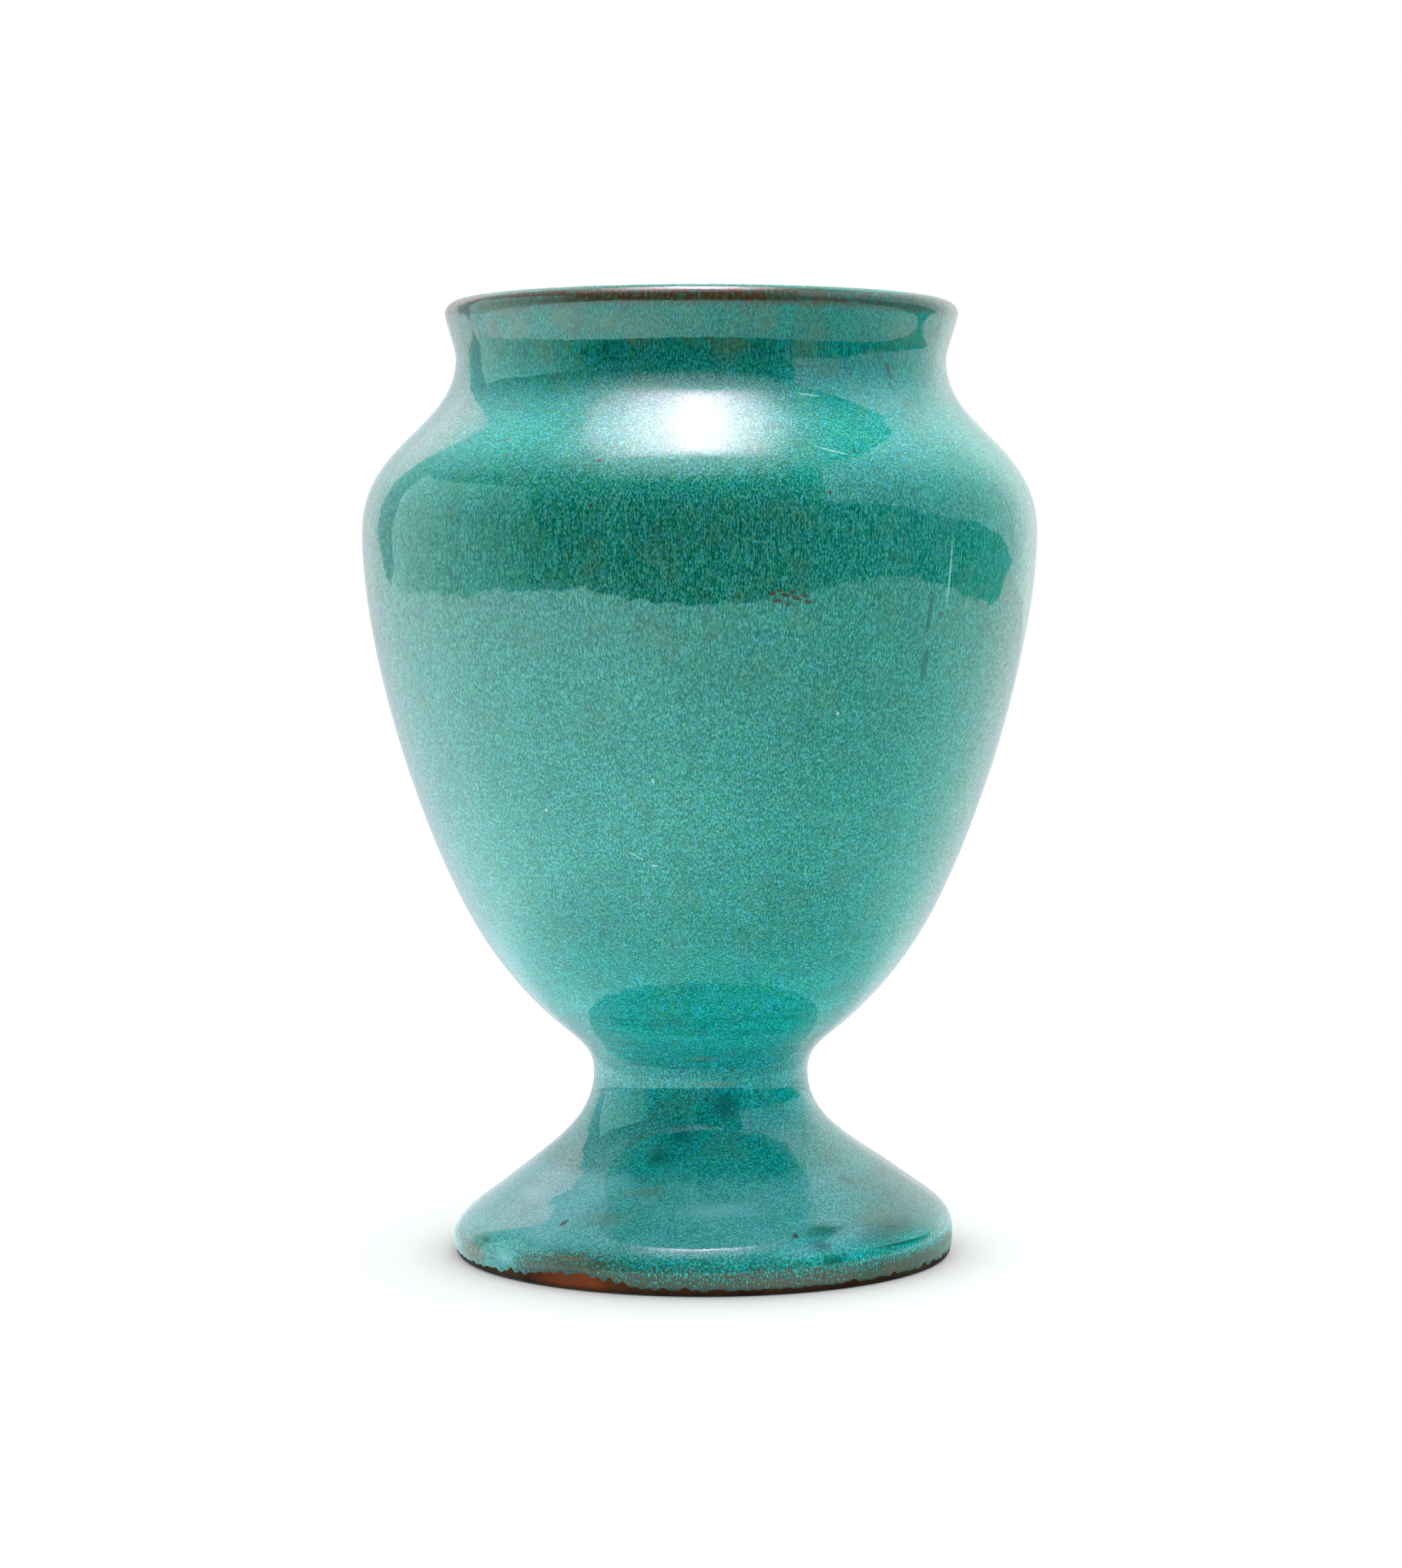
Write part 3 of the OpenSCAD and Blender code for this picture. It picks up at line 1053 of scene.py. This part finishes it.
@dataclass(frozen=True)
class ClayFinish:
    """Bare fired clay, matt and grainy, with painted light in a redder patch on the foot's edge and
    painted shade at the table.
    """

    name: str
    clay: Colour
    dark: Colour
    pale: Colour
    red: Colour = (0.25, 0.06, 0.02)
    painted_contact_shade: Colour = (0.008, 0.004, 0.002)
    roughness: float = 0.62
    ior: float = 1.45
    gloss: float = 0.08
    grain: float = 30e-6

    def build(self) -> bpy.types.Material:
        """Makes the clay's material.

        Returns:
            The material.
        """
        material = bpy.data.materials.new(self.name)
        graph = Graph(material)
        place = graph.coordinates()
        height = graph.axis(place, "Z")
        clouds = graph.smooth(graph.noise(place, 70.0, 4.0, 0.6), 0.35, 0.68)
        grains = graph.noise(place, 1900.0, 3.0, 0.7)
        rings = graph.noise(place, 700.0, stretch=(0.05, 0.05, 1.0))
        colour = graph.mix(clouds * 0.7, self.clay, self.dark)
        colour = graph.mix(graph.smooth(grains, 0.56, 0.68) * 0.55, colour, self.pale)
        colour = graph.mix(graph.smooth(grains, 0.42, 0.32) * 0.6, colour, self.dark)
        # Painted light: a lighter, redder patch on the foot's edge, where the clay is lit
        red = graph.level(graph.turn(), [(0.385, 0.0), (0.412, 1.0), (0.43, 1.0), (0.457, 0.0)])
        red = red * graph.smooth(height, 0.0075, 0.006) * (0.35 + 0.6 * clouds)
        colour = graph.mix(red, colour, self.red)
        # Painted shade: the clay darkens towards the table, where the ring meets it
        under = graph.smooth(height + 0.0008 * grains, 0.0024, 0.0006)
        sockets = {
            "Base Color": graph.mix(under * 0.85, colour, self.painted_contact_shade),
            "Roughness": self.roughness + 0.25 * clouds,
            "IOR": self.ior,
            "Specular IOR Level": self.gloss,
            "Normal": graph.bump(grains + 0.6 * rings, self.grain),
        }
        graph.surface(graph.node("ShaderNodeBsdfPrincipled", None, sockets))
        return material


# Sub-assemblies


def seat(piece: bpy.types.Object, material: bpy.types.Material, node: str) -> None:
    """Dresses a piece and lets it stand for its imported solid.

    Args:
        piece: The piece.
        material: Its finish.
        node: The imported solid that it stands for.
    """
    piece.data.materials.append(material)
    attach(piece, BODY)
    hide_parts(node)
    LOG.info("%s: %d faces", piece.name, len(piece.data.polygons))


@dataclass(frozen=True)
class TurnedPiece:
    """Piece turned round the axis and bent to the thrown form."""

    outline: VaseOutline
    shape: ThrownShape
    count: int = 240

    @property
    def angles(self) -> np.ndarray:
        """Angles all round the vase, in radians."""
        return np.linspace(-math.pi, math.pi, self.count, endpoint=False)

    def places(self, radius: np.ndarray, height: np.ndarray) -> np.ndarray:
        """Places of points by row and angle."""
        return self.shape.place(radius, height, self.angles[None, :])


@dataclass(frozen=True)
class PedestalFoot(TurnedPiece):
    """Thrown hollow foot with its standing ring, stem and flat top."""

    count: int = 360
    lowest: float = 1.6 * MM
    ring_mark: float = 0.1 * MM
    ring_pitch: float = 3.4 * MM

    def build(self, clay: ClayFinish) -> None:
        """Builds the clay of the foot.

        Args:
            clay: Its finish.
        """
        size = self.outline
        corner = arc(-90, 0, 6) * size.ring_round
        corner = corner + np.array([size.ring_r - size.ring_round, size.ring_round])
        inside = size.foot_inside()
        rise = inside[:, 1]
        marked = smoothstep(rise, 3 * MM, 9 * MM) * (1 - smoothstep(rise, 50 * MM, 55 * MM))
        inside[:, 0] += marked * self.ring_mark * np.sin(rise * 2 * math.pi / self.ring_pitch)
        rows = np.vstack([corner, size.foot_outside(0, self.lowest), inside[::-1]])
        piece = turned_mesh("thrown_foot", self.places(rows[:, :1], rows[:, 1:]))
        seat(piece, clay.build(), "pedestal_foot")


@dataclass(frozen=True)
class Bowl(TurnedPiece):
    """Thrown bowl with its floor, wall, shoulder, neck and rolled lip."""

    def build(self, clay: ClayFinish) -> None:
        """Builds the clay of the bowl.

        Args:
            clay: Its finish.
        """
        size = self.outline
        base = np.array([[0.0, size.base_z], [0.5 * size.base_r, size.base_z]])
        outside = np.vstack([size.bowl_outside(0), size.roll(0, 0, 180, 24)])[::2]
        inside = size.bowl_inside(0)[:-1][::-2]
        if inside[-1, 0] > 0:
            inside = np.vstack([inside, [0.0, size.floor_z]])
        rows = np.vstack([base, outside, inside])
        places = self.places(rows[:, :1], rows[:, 1:])
        piece = turned_mesh("thrown_bowl", places, poles=(0, len(rows) - 1))
        seat(piece, clay.build(), "bowl")


@dataclass(frozen=True)
class LutingSlip(TurnedPiece):
    """Slip that joins the bowl to the foot, smoothed into a bead inside the stem."""

    wobble: float = 0.15 * MM

    def build(self, slip: ClayFinish) -> None:
        """Builds the slip.

        Args:
            slip: Its finish.
        """
        size = self.outline
        joint = [[size.bore_r, size.foot_h], [size.foot_top_r, size.foot_h], [size.base_r, size.base_z]]
        bead = arc(90, 0, 8) * size.slip_bead
        bead = bead + np.array([size.bore_r - size.slip_bead, size.base_z - size.slip_bead])
        rows = np.vstack([joint, bead])
        places = self.places(rows[:, :1], rows[:, 1:])
        places[-5:, :, 2] += self.wobble * np.sin(9 * self.angles) * np.sin(5 * self.angles + 1.0)
        piece = turned_mesh("luting_slip_bead", places)
        seat(piece, slip.build(), "luting_slip")


@dataclass(frozen=True)
class GlazeCoat(TurnedPiece):
    """Coat that bites a little into the clay and thins out over the top of the lip."""

    flow: GlazeFlow = GlazeFlow()
    thickness: float = 0.34 * MM
    bite: float = 0.04 * MM
    sink: float = 0.22 * MM


@dataclass(frozen=True)
class OuterGlaze(GlazeCoat):
    """Glaze coat on the outside, with its ragged stop above the table."""

    count: int = 540
    feather: float = 1.4 * MM
    rim_share: float = 0.18
    lowest: float = 1.3 * MM
    blend_height: float = 14 * MM
    lip_turn: float = 165
    ripple: float = 0.09 * MM
    ripples: int = 30
    ripple_turns: tuple[int, int] = (17, 170)
    line_limits: Pair = (1.5 * MM, 5.2 * MM)
    seed: int = 23

    def glaze_line(self) -> np.ndarray:
        """Height of the coat's lower edge round the foot.

        Returns:
            Heights in metres, one for each angle.
        """
        line = np.interp(np.degrees(self.angles), *zip(*GLAZE_LINE)) * MM
        draw = np.random.default_rng(self.seed)
        for turns in draw.integers(*self.ripple_turns, self.ripples):
            line += self.ripple * np.sin(turns * self.angles + draw.uniform(0, 2 * math.pi))
        return np.clip(line, *self.line_limits)

    def _drawn(self, rows: np.ndarray, foot: np.ndarray) -> tuple[np.ndarray, np.ndarray]:
        """Rows whose lowest part follows the coat's lower edge.

        Args:
            rows: Rows of radius and height.
            foot: The foot's part of them, on which the moved points stay.

        Returns:
            Radius and height by row and angle.
        """
        line = self.glaze_line()[None, :]
        radius = np.repeat(rows[:, :1], self.count, 1)
        height = np.repeat(rows[:, 1:], self.count, 1)
        low = height < self.blend_height
        share = (height - self.lowest) / (self.blend_height - self.lowest)
        height = np.where(low, line + share * (self.blend_height - line), height)
        return np.where(low, np.interp(height, foot[:, 1], foot[:, 0]), radius), height

    def _face(self) -> tuple[np.ndarray, np.ndarray, np.ndarray]:
        """Points of the coat's face, before it swells.

        Returns:
            Radius and height by row and angle, and the way out from the clay by row.
        """
        size = self.outline
        foot = size.foot_outside(0, self.lowest)
        bowl = size.bowl_outside(0)
        joint = np.linspace(foot[-1], bowl[0], 3)[1:-1]
        path = np.vstack([foot, joint, bowl, size.roll(0, 0, self.lip_turn, 30)])
        along = np.gradient(path, axis=0)
        along /= np.linalg.norm(along, axis=1)[:, None]
        outward = np.stack([along[:, 1], -along[:, 0]], 1)
        radius, height = self._drawn(path, foot)
        rise = np.clip((height - self.glaze_line()[None, :]) / self.feather, 0, 1)
        coat = self.thickness * (self.rim_share + (1 - self.rim_share) * np.sqrt(rise))
        coat[-7:] -= self.sink * np.linspace(0, 1, 8)[1:, None]
        return radius + coat * outward[:, :1], height + coat * outward[:, 1:], outward

    def build(self, finish: GlazeFinish) -> None:
        """Builds the coat.

        Args:
            finish: Its finish.
        """
        size = self.outline
        radius, height, outward = self._face()
        swell = self.flow.height(self.places(radius, height))
        face = self.places(radius + swell * outward[:, :1], height + swell * outward[:, 1:])
        foot = size.foot_outside(-self.bite, self.lowest)
        lip = size.roll(-self.bite, 0, self.lip_turn, 10)
        back = np.vstack([foot[::3], size.bowl_outside(-self.bite)[::4], lip])[::-1]
        reverse = self.places(*self._drawn(back, foot))
        piece = turned_mesh("outer_glaze_coat", np.concatenate([face, reverse]))
        seat(piece, finish.build(self.shape, size, spots=True), "outer_glaze")


@dataclass(frozen=True)
class LinerGlaze(GlazeCoat):
    """Glaze coat on the inside, over the throwing rings."""

    count: int = 360
    lip_turn: float = 100
    ring_mark: float = 0.16 * MM
    ring_pitch: float = 8.5 * MM

    def build(self, finish: GlazeFinish) -> None:
        """Builds the coat.

        Args:
            finish: Its finish.
        """
        size = self.outline
        sunk = self.thickness - np.linspace(0, self.sink, 11)[1:]
        rows = np.vstack([size.bowl_inside(self.thickness), size.roll(sunk, 180, self.lip_turn, 10)])
        path = np.concatenate([[0], np.cumsum(np.linalg.norm(np.diff(rows, axis=0), axis=1))])
        spiral = 2 * math.pi * path[:, None] / self.ring_pitch + self.angles[None, :]
        fade = smoothstep(path, 4 * MM, 20 * MM) * (1 - smoothstep(rows[:, 1], 215 * MM, 238 * MM))
        radius = rows[:, :1] + self.ring_mark * fade[:, None] * (np.sin(spiral) - 1)
        face = self.places(radius, np.repeat(rows[:, 1:], self.count, 1))
        face[..., 2] += self.flow.height(face) * fade[:, None]
        lip = size.roll(-self.bite, 180, self.lip_turn, 5)
        back = np.vstack([size.bowl_inside(-self.bite), lip])[::-2]
        if back[-1, 0] > 0:
            back = np.vstack([back, [0.0, size.floor_z - self.bite]])
        reverse = self.places(back[:, :1], back[:, 1:])
        places = np.concatenate([face, reverse])[::-1]
        piece = turned_mesh("liner_glaze_coat", places, poles=(0, len(places) - 1))
        seat(piece, finish.build(self.shape, size, spots=False), "liner_glaze")


# Studio


@dataclass(frozen=True)
class Card:
    """Upright card bent round the vase.

    Each edge names an angle round the vase and the card's lowest and highest
    points there.
    """

    name: str
    distance: float
    light: float
    shine: Shades
    edges: Sequence[Place]
    crown: Shades = ()

    def build(self) -> None:
        """Builds the card."""
        points = []
        for angle, low, high in self.edges:
            turn = math.radians(angle)
            x, y = self.distance * math.sin(turn), -self.distance * math.cos(turn)
            points += [(x, y, low), (x, y, high)]
        faces = [(at, at + 2, at + 3, at + 1) for at in range(0, len(points) - 2, 2)]
        surface = card_material(self.name, self.light, self.shine, self.crown)
        stage_piece(self.name, points, faces, surface)


def card_material(name: str, light: float, shine: Shades, crown: Shades = ()) -> bpy.types.Material:
    """Plain surface, whose brightness in the gloss changes round the vase.

    Args:
        name: The card's name.
        light: Brightness by which it lights the table and the vase.
        shine: Angles and the brightness that shows there in the gloss of the glaze.
        crown: Angles and brightness added high up.

    Returns:
        The material.
    """
    material = bpy.data.materials.new(name + "_surface")
    graph = Graph(material)
    glossy = graph.ray("Is Glossy Ray")
    mirrored = graph.round_ramp(shine, SHINE_TOP)
    if crown:
        high = graph.smooth(graph.axis(graph.coordinates(), "Z"), *CROWN_RISE)
        mirrored = graph.mix(high, mirrored, graph.round_ramp(crown, SHINE_TOP), "ADD")
    colour = graph.mix(glossy, (light, light, light), mirrored)
    graph.surface(graph.emission(colour, 1.0 + (SHINE_TOP - 1.0) * glossy))
    return material


def stage_piece(
    name: str,
    points: list[Place],
    faces: list[tuple[int, ...]],
    material: bpy.types.Material,
    shown: bool = False,
) -> bpy.types.Object:
    """Makes one piece of the studio.

    Args:
        name: Its name.
        points: Its corners.
        faces: Its faces, as numbers of corners.
        material: Its surface.
        shown: Whether the camera sees it.

    Returns:
        The piece.
    """
    mesh = bpy.data.meshes.new(name)
    mesh.from_pydata(points, [], faces)
    mesh.materials.append(material)
    piece = bpy.data.objects.new(name, mesh)
    bpy.context.scene.collection.objects.link(piece)
    piece.visible_camera = shown
    return piece


CARDS: tuple[Card, ...] = (
    Card(
        "left_wall", 0.85, 1.0,
        (
            (-122, (1.15, 2.0, 1.95)), (-100, (1.15, 2.1, 2.0)), (-85, (0.85, 1.95, 1.9)),
            (-72, (0.6, 1.7, 1.6)), (-62, (0.35, 1.15, 1.0)), (-54, (0.1, 0.5, 0.35)),
            (-44, (0.0, 0.25, 0.15)),
        ),
        (
            (-121, 0.083, 0.64), (-108, 0.065, 0.66), (-99, 0.051, 0.7), (-93, 0.038, 0.73),
            (-84, 0.019, 0.74), (-71, 0.019, 0.75), (-65, 0.014, 0.75), (-59, 0.01, 0.7),
            (-55, 0.007, 0.36), (-48, 0.003, 0.22), (-42, -0.005, 0.0),
        ),
    ),
    Card(
        "right_wall", 0.85, 1.2,
        (
            (45, (0.6, 1.5, 1.75)), (75, (0.45, 1.45, 1.6)), (92, (0.5, 1.55, 1.65)),
            (110, (0.75, 1.65, 1.65)), (127, (1.0, 1.6, 1.6)),
        ),
        (
            (41, 0.52, 0.54), (46, 0.51, 0.78), (55, 0.5, 1.34), (63, 0.486, 1.4), (76, 0.38, 1.46),
            (88, 0.31, 1.47), (99, 0.28, 1.43), (110, 0.21, 1.37), (118, 0.18, 1.28), (126, 0.14, 1.18),
        ),
        ((40, (0.3, 0.1, 0.4)), (130, (0.4, 0.2, 0.6))),
    ),
    Card(
        "front_drape", 0.865, 0.5,
        (
            (-134, (0.55, 0.9, 0.95)), (-122, (0.5, 0.9, 0.95)), (-108, (0.3, 0.6, 0.62)),
            (-88, (0.05, 0.15, 0.15)), (-70, (0.0, 0.0, 0.0)), (20, (0.0, 0.0, 0.0)),
            (32, (0.0, 0.18, 0.18)), (48, (0.0, 0.6, 0.62)), (70, (0.0, 0.8, 0.8)),
            (100, (0.0, 0.85, 0.75)), (127, (0.2, 0.95, 0.85)),
        ),
        (
            (-134.5, 0.2, 2.2), (-130, 0.14, 2.2), (-126, 0.1, 2.2), (-121.5, 0.12, 2.2),
            *((turn, 0.12, 2.2) for turn in range(-110, -49, 12)), (-42, 0.0, 2.2), (-41, -0.6, 2.2),
            *((turn, -0.6, 2.2) for turn in range(-30, 31, 12)), (41.5, -0.6, 2.2),
            (42.5, 0.007, 2.2), (53, 0.032, 2.2), (65, 0.043, 2.2), (77, 0.044, 2.2), (89, 0.04, 2.2),
            (97, 0.031, 2.2), (107, 0.038, 2.2), (116, 0.048, 2.2), (120.5, 0.077, 2.2),
            (122, 0.095, 2.2), (124, 0.11, 2.2), (126.5, 0.139, 2.2),
        ),
        (
            (-134, (0.3, 0.25, 0.3)), (-105, (0.35, 0.35, 0.4)), (-70, (0.35, 0.35, 0.4)),
            (-45, (0.2, 0.1, 0.2)), (-25, (0.0, 0.0, 0.0)),
        ),
    ),
    Card(
        "back_left", 1.6, 1.1,
        (
            (-180, (1.0, 0.95, 1.0)), (-168, (0.8, 0.85, 0.9)), (-157, (0.85, 0.9, 0.95)),
            (-148, (1.1, 1.2, 1.25)), (-133, (1.3, 1.5, 1.5)),
        ),
        ((-180, 0.05, 2.6), (-165, 0.05, 2.6), (-150, 0.05, 2.6), (-133, 0.05, 2.6)),
        ((-168, (0.0, 0.0, 0.0)), (-157, (0.7, 0.2, 0.3)), (-133, (0.6, 0.2, 0.3))),
    ),
    Card(
        "back_right", 1.6, 1.8,
        (
            (126, (1.1, 1.6, 1.6)), (142, (1.3, 1.55, 1.55)), (152, (1.15, 1.3, 1.3)),
            (160, (0.9, 1.0, 1.0)), (180, (1.0, 0.95, 1.0)),
        ),
        ((126, 0.05, 2.6), (145, 0.05, 2.6), (162, 0.05, 2.6), (180, 0.05, 2.6)),
    ),
)


@dataclass(frozen=True)
class Studio:
    """White table, cards, overhead panel, white surroundings and camera."""

    camera_place: Place = (0.0004, -0.9447, 0.1798)
    camera_pitch: float = 3.4
    lens: float = 82.26
    sensor: float = 36.0
    nearest: float = 0.01
    table: Sequence[Pair] = (
        (-0.52, -0.69), (0.0, -0.7), (0.6, -0.65), (0.82, -0.6), (2.2, -1.5), (2.2, 2.2),
        (-2.2, 2.2), (-2.2, -1.6), (-0.71, -0.53),
    )
    panel_height: float = 0.53
    panel_box: Box = (-0.175, 0.165, -0.2, 0.0)
    halo_gap: float = 2 * MM
    halo_middle: Pair = (-0.03, -0.13)
    halo_radii: Pair = (0.29, 0.31)
    halo_margin: float = 0.01
    halo_light: Colour = (3.0, 2.6, 3.2)
    halo_faint: Colour = (0.1, 0.05, 0.1)
    lamp_light: float = 21.0
    ceiling_radius: float = 0.95
    ceiling_height: float = 2.2
    ceiling_light: float = 0.35
    ceiling_shine: Shades = ((-60, (0.5, 0.35, 0.45)), (0, (0.12, 0.14, 0.24)), (60, (0.0, 0.0, 0.0)))
    panel_top: float = 16.0
    panel_across: Levels = (
        (-0.172, 0.0), (-0.16, 1.0), (-0.14, 2.2), (-0.11, 3.4), (-0.09, 5.6), (-0.07, 7.0),
        (-0.05, 8.8), (-0.025, 13.5), (0.0, 15.0), (0.028, 12.0), (0.05, 7.8), (0.07, 5.6),
        (0.085, 3.6), (0.1, 2.3), (0.113, 1.0), (0.128, 0.2), (0.145, 0.0),
    )
    table_shine: Shades = (
        (-180, (0.6, 0.6, 0.64)), (-165, (0.75, 0.78, 0.85)), (-152, (0.95, 1.05, 1.15)),
        (-140, (1.25, 1.45, 1.6)), (-122, (1.65, 2.25, 2.4)), (-100, (2.15, 3.4, 3.5)),
        (-75, (2.0, 3.7, 3.8)), (-50, (1.6, 3.4, 3.5)), (-20, (1.3, 3.0, 3.0)), (0, (0.95, 2.5, 2.45)),
        (20, (0.7, 2.0, 2.0)), (42, (0.5, 1.7, 1.6)), (65, (0.5, 1.7, 1.65)), (90, (0.8, 2.05, 2.0)),
        (112, (1.1, 1.8, 1.8)), (132, (1.25, 1.45, 1.45)), (150, (0.95, 1.05, 1.1)),
        (165, (0.75, 0.8, 0.85)), (180, (0.6, 0.6, 0.64)),
    )
    table_grey: float = 0.5
    seen_lift: float = 0.58
    bounce_lift: float = 0.8
    contact_reach: float = 0.016
    table_gloss: float = 0.92
    cards: tuple[Card, ...] = CARDS

    def build(self) -> None:
        """Builds the whole studio."""
        self._camera()
        self._world()
        self._table()
        self._ceiling()
        self._panel()
        self._panel_halo()
        for card in self.cards:
            card.build()
        LOG.info("studio: %d cards", len(self.cards))

    def _camera(self) -> None:
        """Stands the camera in front of the vase."""
        data = bpy.data.cameras.new("camera")
        data.lens = self.lens
        data.sensor_width = self.sensor
        data.clip_start = self.nearest
        camera = bpy.data.objects.new("camera", data)
        camera.location = self.camera_place
        camera.rotation_euler = (math.radians(90 - self.camera_pitch), 0.0, 0.0)
        bpy.context.scene.collection.objects.link(camera)
        bpy.context.scene.camera = camera

    @staticmethod
    def _world() -> None:
        """Plain white surroundings."""
        world = bpy.data.worlds.new("surroundings")
        bpy.context.scene.world = world
        graph = Graph(world)
        white = graph.node("ShaderNodeBackground", None, {0: (1.0, 1.0, 1.0, 1.0), 1: 1.0})
        graph.node("ShaderNodeOutputWorld", None, {0: white})

    def _table(self) -> None:
        """White table top, which lets a view from below pass."""
        material = bpy.data.materials.new("table_top")
        graph = Graph(material)
        matt = graph.node("ShaderNodeBsdfDiffuse", None, {0: (*[self.table_grey] * 3, 1.0)})
        reach = {"Distance": self.contact_reach}
        near = graph.node("ShaderNodeAmbientOcclusion", {"samples": 8}, reach, "AO")
        lift = graph.mix(graph.ray("Is Diffuse Ray"), self.seen_lift * near, (*[self.bounce_lift] * 3,))
        seen = graph.node("ShaderNodeAddShader", None, {0: matt, 1: graph.emission(lift)})
        # Painted shadow: the table's gloss is dimmer near the vase, as its shadow shows in the
        # reflection
        reach = graph.vector("LENGTH", graph.coordinates(), output="Value")
        share = 0.55 + 0.45 * graph.smooth(reach, 0.09, 0.2)
        shine = graph.round_ramp(self.table_shine, SHINE_TOP)
        gloss = graph.emission(graph.mix(share, (0.0, 0.0, 0.0), shine), SHINE_TOP)
        top = graph.blend(graph.ray("Is Glossy Ray") * self.table_gloss, seen, gloss)
        below = graph.node("ShaderNodeNewGeometry", output="Backfacing")
        graph.surface(graph.blend(below, top, graph.node("ShaderNodeBsdfTransparent")))
        corners = [(x, y, 0.0) for x, y in self.table]
        stage_piece("table", corners, [tuple(range(len(corners)))], material, shown=True)

    def _ceiling(self) -> None:
        """Dark ceiling over the front of the table."""
        turns = [math.radians(turn) for turn in range(-125, 126, 10)]
        radius, height = self.ceiling_radius, self.ceiling_height
        rim = [(radius * math.sin(turn), -radius * math.cos(turn), height) for turn in turns]
        surface = card_material("ceiling", self.ceiling_light, self.ceiling_shine)
        stage_piece("ceiling", rim, [tuple(range(len(rim)))], surface)

    def _panel(self) -> None:
        """Overhead light panel, which lights as a lamp and shows its own pattern in the gloss."""
        left, right, front, _ = self.panel_box
        graph = Graph(bpy.data.materials.new("panel_light"))
        place = graph.coordinates()
        across, along = graph.axis(place, "X"), graph.axis(place, "Y")
        width = right - left
        stops = [((x - left) / width, light / self.panel_top) for x, light in self.panel_across]
        seen = graph.level((across - left) / width, stops)
        seen = seen * graph.smooth(along, front + 0.01, front + 0.05)
        seen = seen * (0.55 + 0.45 * graph.smooth(along, front + 0.035, front + 0.08)) * self.panel_top
        halo = graph.mix(self._halo(graph, place), self.halo_faint, self.halo_light)
        shown = graph.vector("ADD", graph.channels(seen, seen * 0.8, seen * 0.95), halo)
        lamp = self.lamp_light * graph.smooth(along, front + 0.05, front + 0.14)
        lamp = lamp * graph.smooth(across, left, left + 0.05) * graph.smooth(across, right, right - 0.05)
        lamp = graph.channels(lamp, lamp, lamp)
        graph.surface(graph.emission(graph.mix(graph.ray("Is Glossy Ray"), lamp, shown)))
        self._overhead("overhead_panel", self.panel_box, self.panel_height, graph)

    def _panel_halo(self) -> None:
        """Faint light round the panel, which shows in the gloss alone."""
        graph = Graph(bpy.data.materials.new("panel_halo"))
        near = self._halo(graph, graph.coordinates())
        clear = graph.node("ShaderNodeBsdfTransparent")
        graph.surface(graph.blend(near, clear, graph.emission((*self.halo_light, 1.0))))
        x, y = self.halo_middle
        across, along = (radius + self.halo_margin for radius in self.halo_radii)
        box = (x - across, x + across, y - along, y + along)
        halo = self._overhead("panel_halo", box, self.panel_height + self.halo_gap, graph)
        halo.visible_diffuse = halo.visible_transmission = halo.visible_shadow = False

    def _halo(self, graph: Graph, place: Value) -> Value:
        """Share of the faint light round the panel.

        Args:
            graph: The material's nodes.
            place: Place on the panel or the halo.

        Returns:
            1 at its middle and 0 at its rim and behind the panel.
        """
        offset = graph.vector("SUBTRACT", place, (*self.halo_middle, 0.0))
        across, along = self.halo_radii
        offset = graph.vector("MULTIPLY", offset, (1 / across, 1 / along, 0.0))
        near = graph.smooth(graph.vector("LENGTH", offset, output="Value"), 1.0, 0.1)
        return near * graph.smooth(graph.axis(place, "Y"), 0.05, -0.02)

    @staticmethod
    def _overhead(name: str, box: Box, height: float, graph: Graph) -> bpy.types.Object:
        """Level rectangle over the vase.

        Args:
            name: Its name.
            box: Least and greatest x, then least and greatest y.
            height: Its height above the table.
            graph: The nodes of its material.

        Returns:
            The rectangle.
        """
        left, right, front, back = box
        corners = [(left, back), (right, back), (right, front), (left, front)]
        return stage_piece(name, [(x, y, height) for x, y in corners], [(0, 1, 2, 3)], graph.owner)


def main() -> None:
    """Builds the vase and its studio."""
    logging.basicConfig(level=logging.INFO, format="%(name)s: %(message)s")
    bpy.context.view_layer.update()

    outline = VaseOutline.from_frame()
    LOG.info("outline: %s", outline)
    shape = ThrownShape()
    clay = ClayFinish("red_clay", (0.066, 0.022, 0.007), (0.016, 0.006, 0.002), (0.09, 0.042, 0.02))
    inner_clay = ClayFinish("bowl_clay", (0.34, 0.14, 0.07), (0.16, 0.07, 0.035), (0.42, 0.26, 0.16))
    slip = ClayFinish("joint_slip", (0.36, 0.17, 0.09), (0.2, 0.09, 0.045), (0.46, 0.3, 0.19))

    PedestalFoot(outline, shape).build(clay)
    Bowl(outline, shape).build(inner_clay)
    LutingSlip(outline, shape).build(slip)
    OuterGlaze(outline, shape).build(GlazeFinish("turquoise_glaze"))
    LinerGlaze(outline, shape, flow=GlazeFlow(seed=8)).build(GlazeFinish("liner_turquoise"))
    Studio().build()

    scene = bpy.context.scene
    scene.view_settings.view_transform = "Standard"


if __name__ == "__main__":
    main()
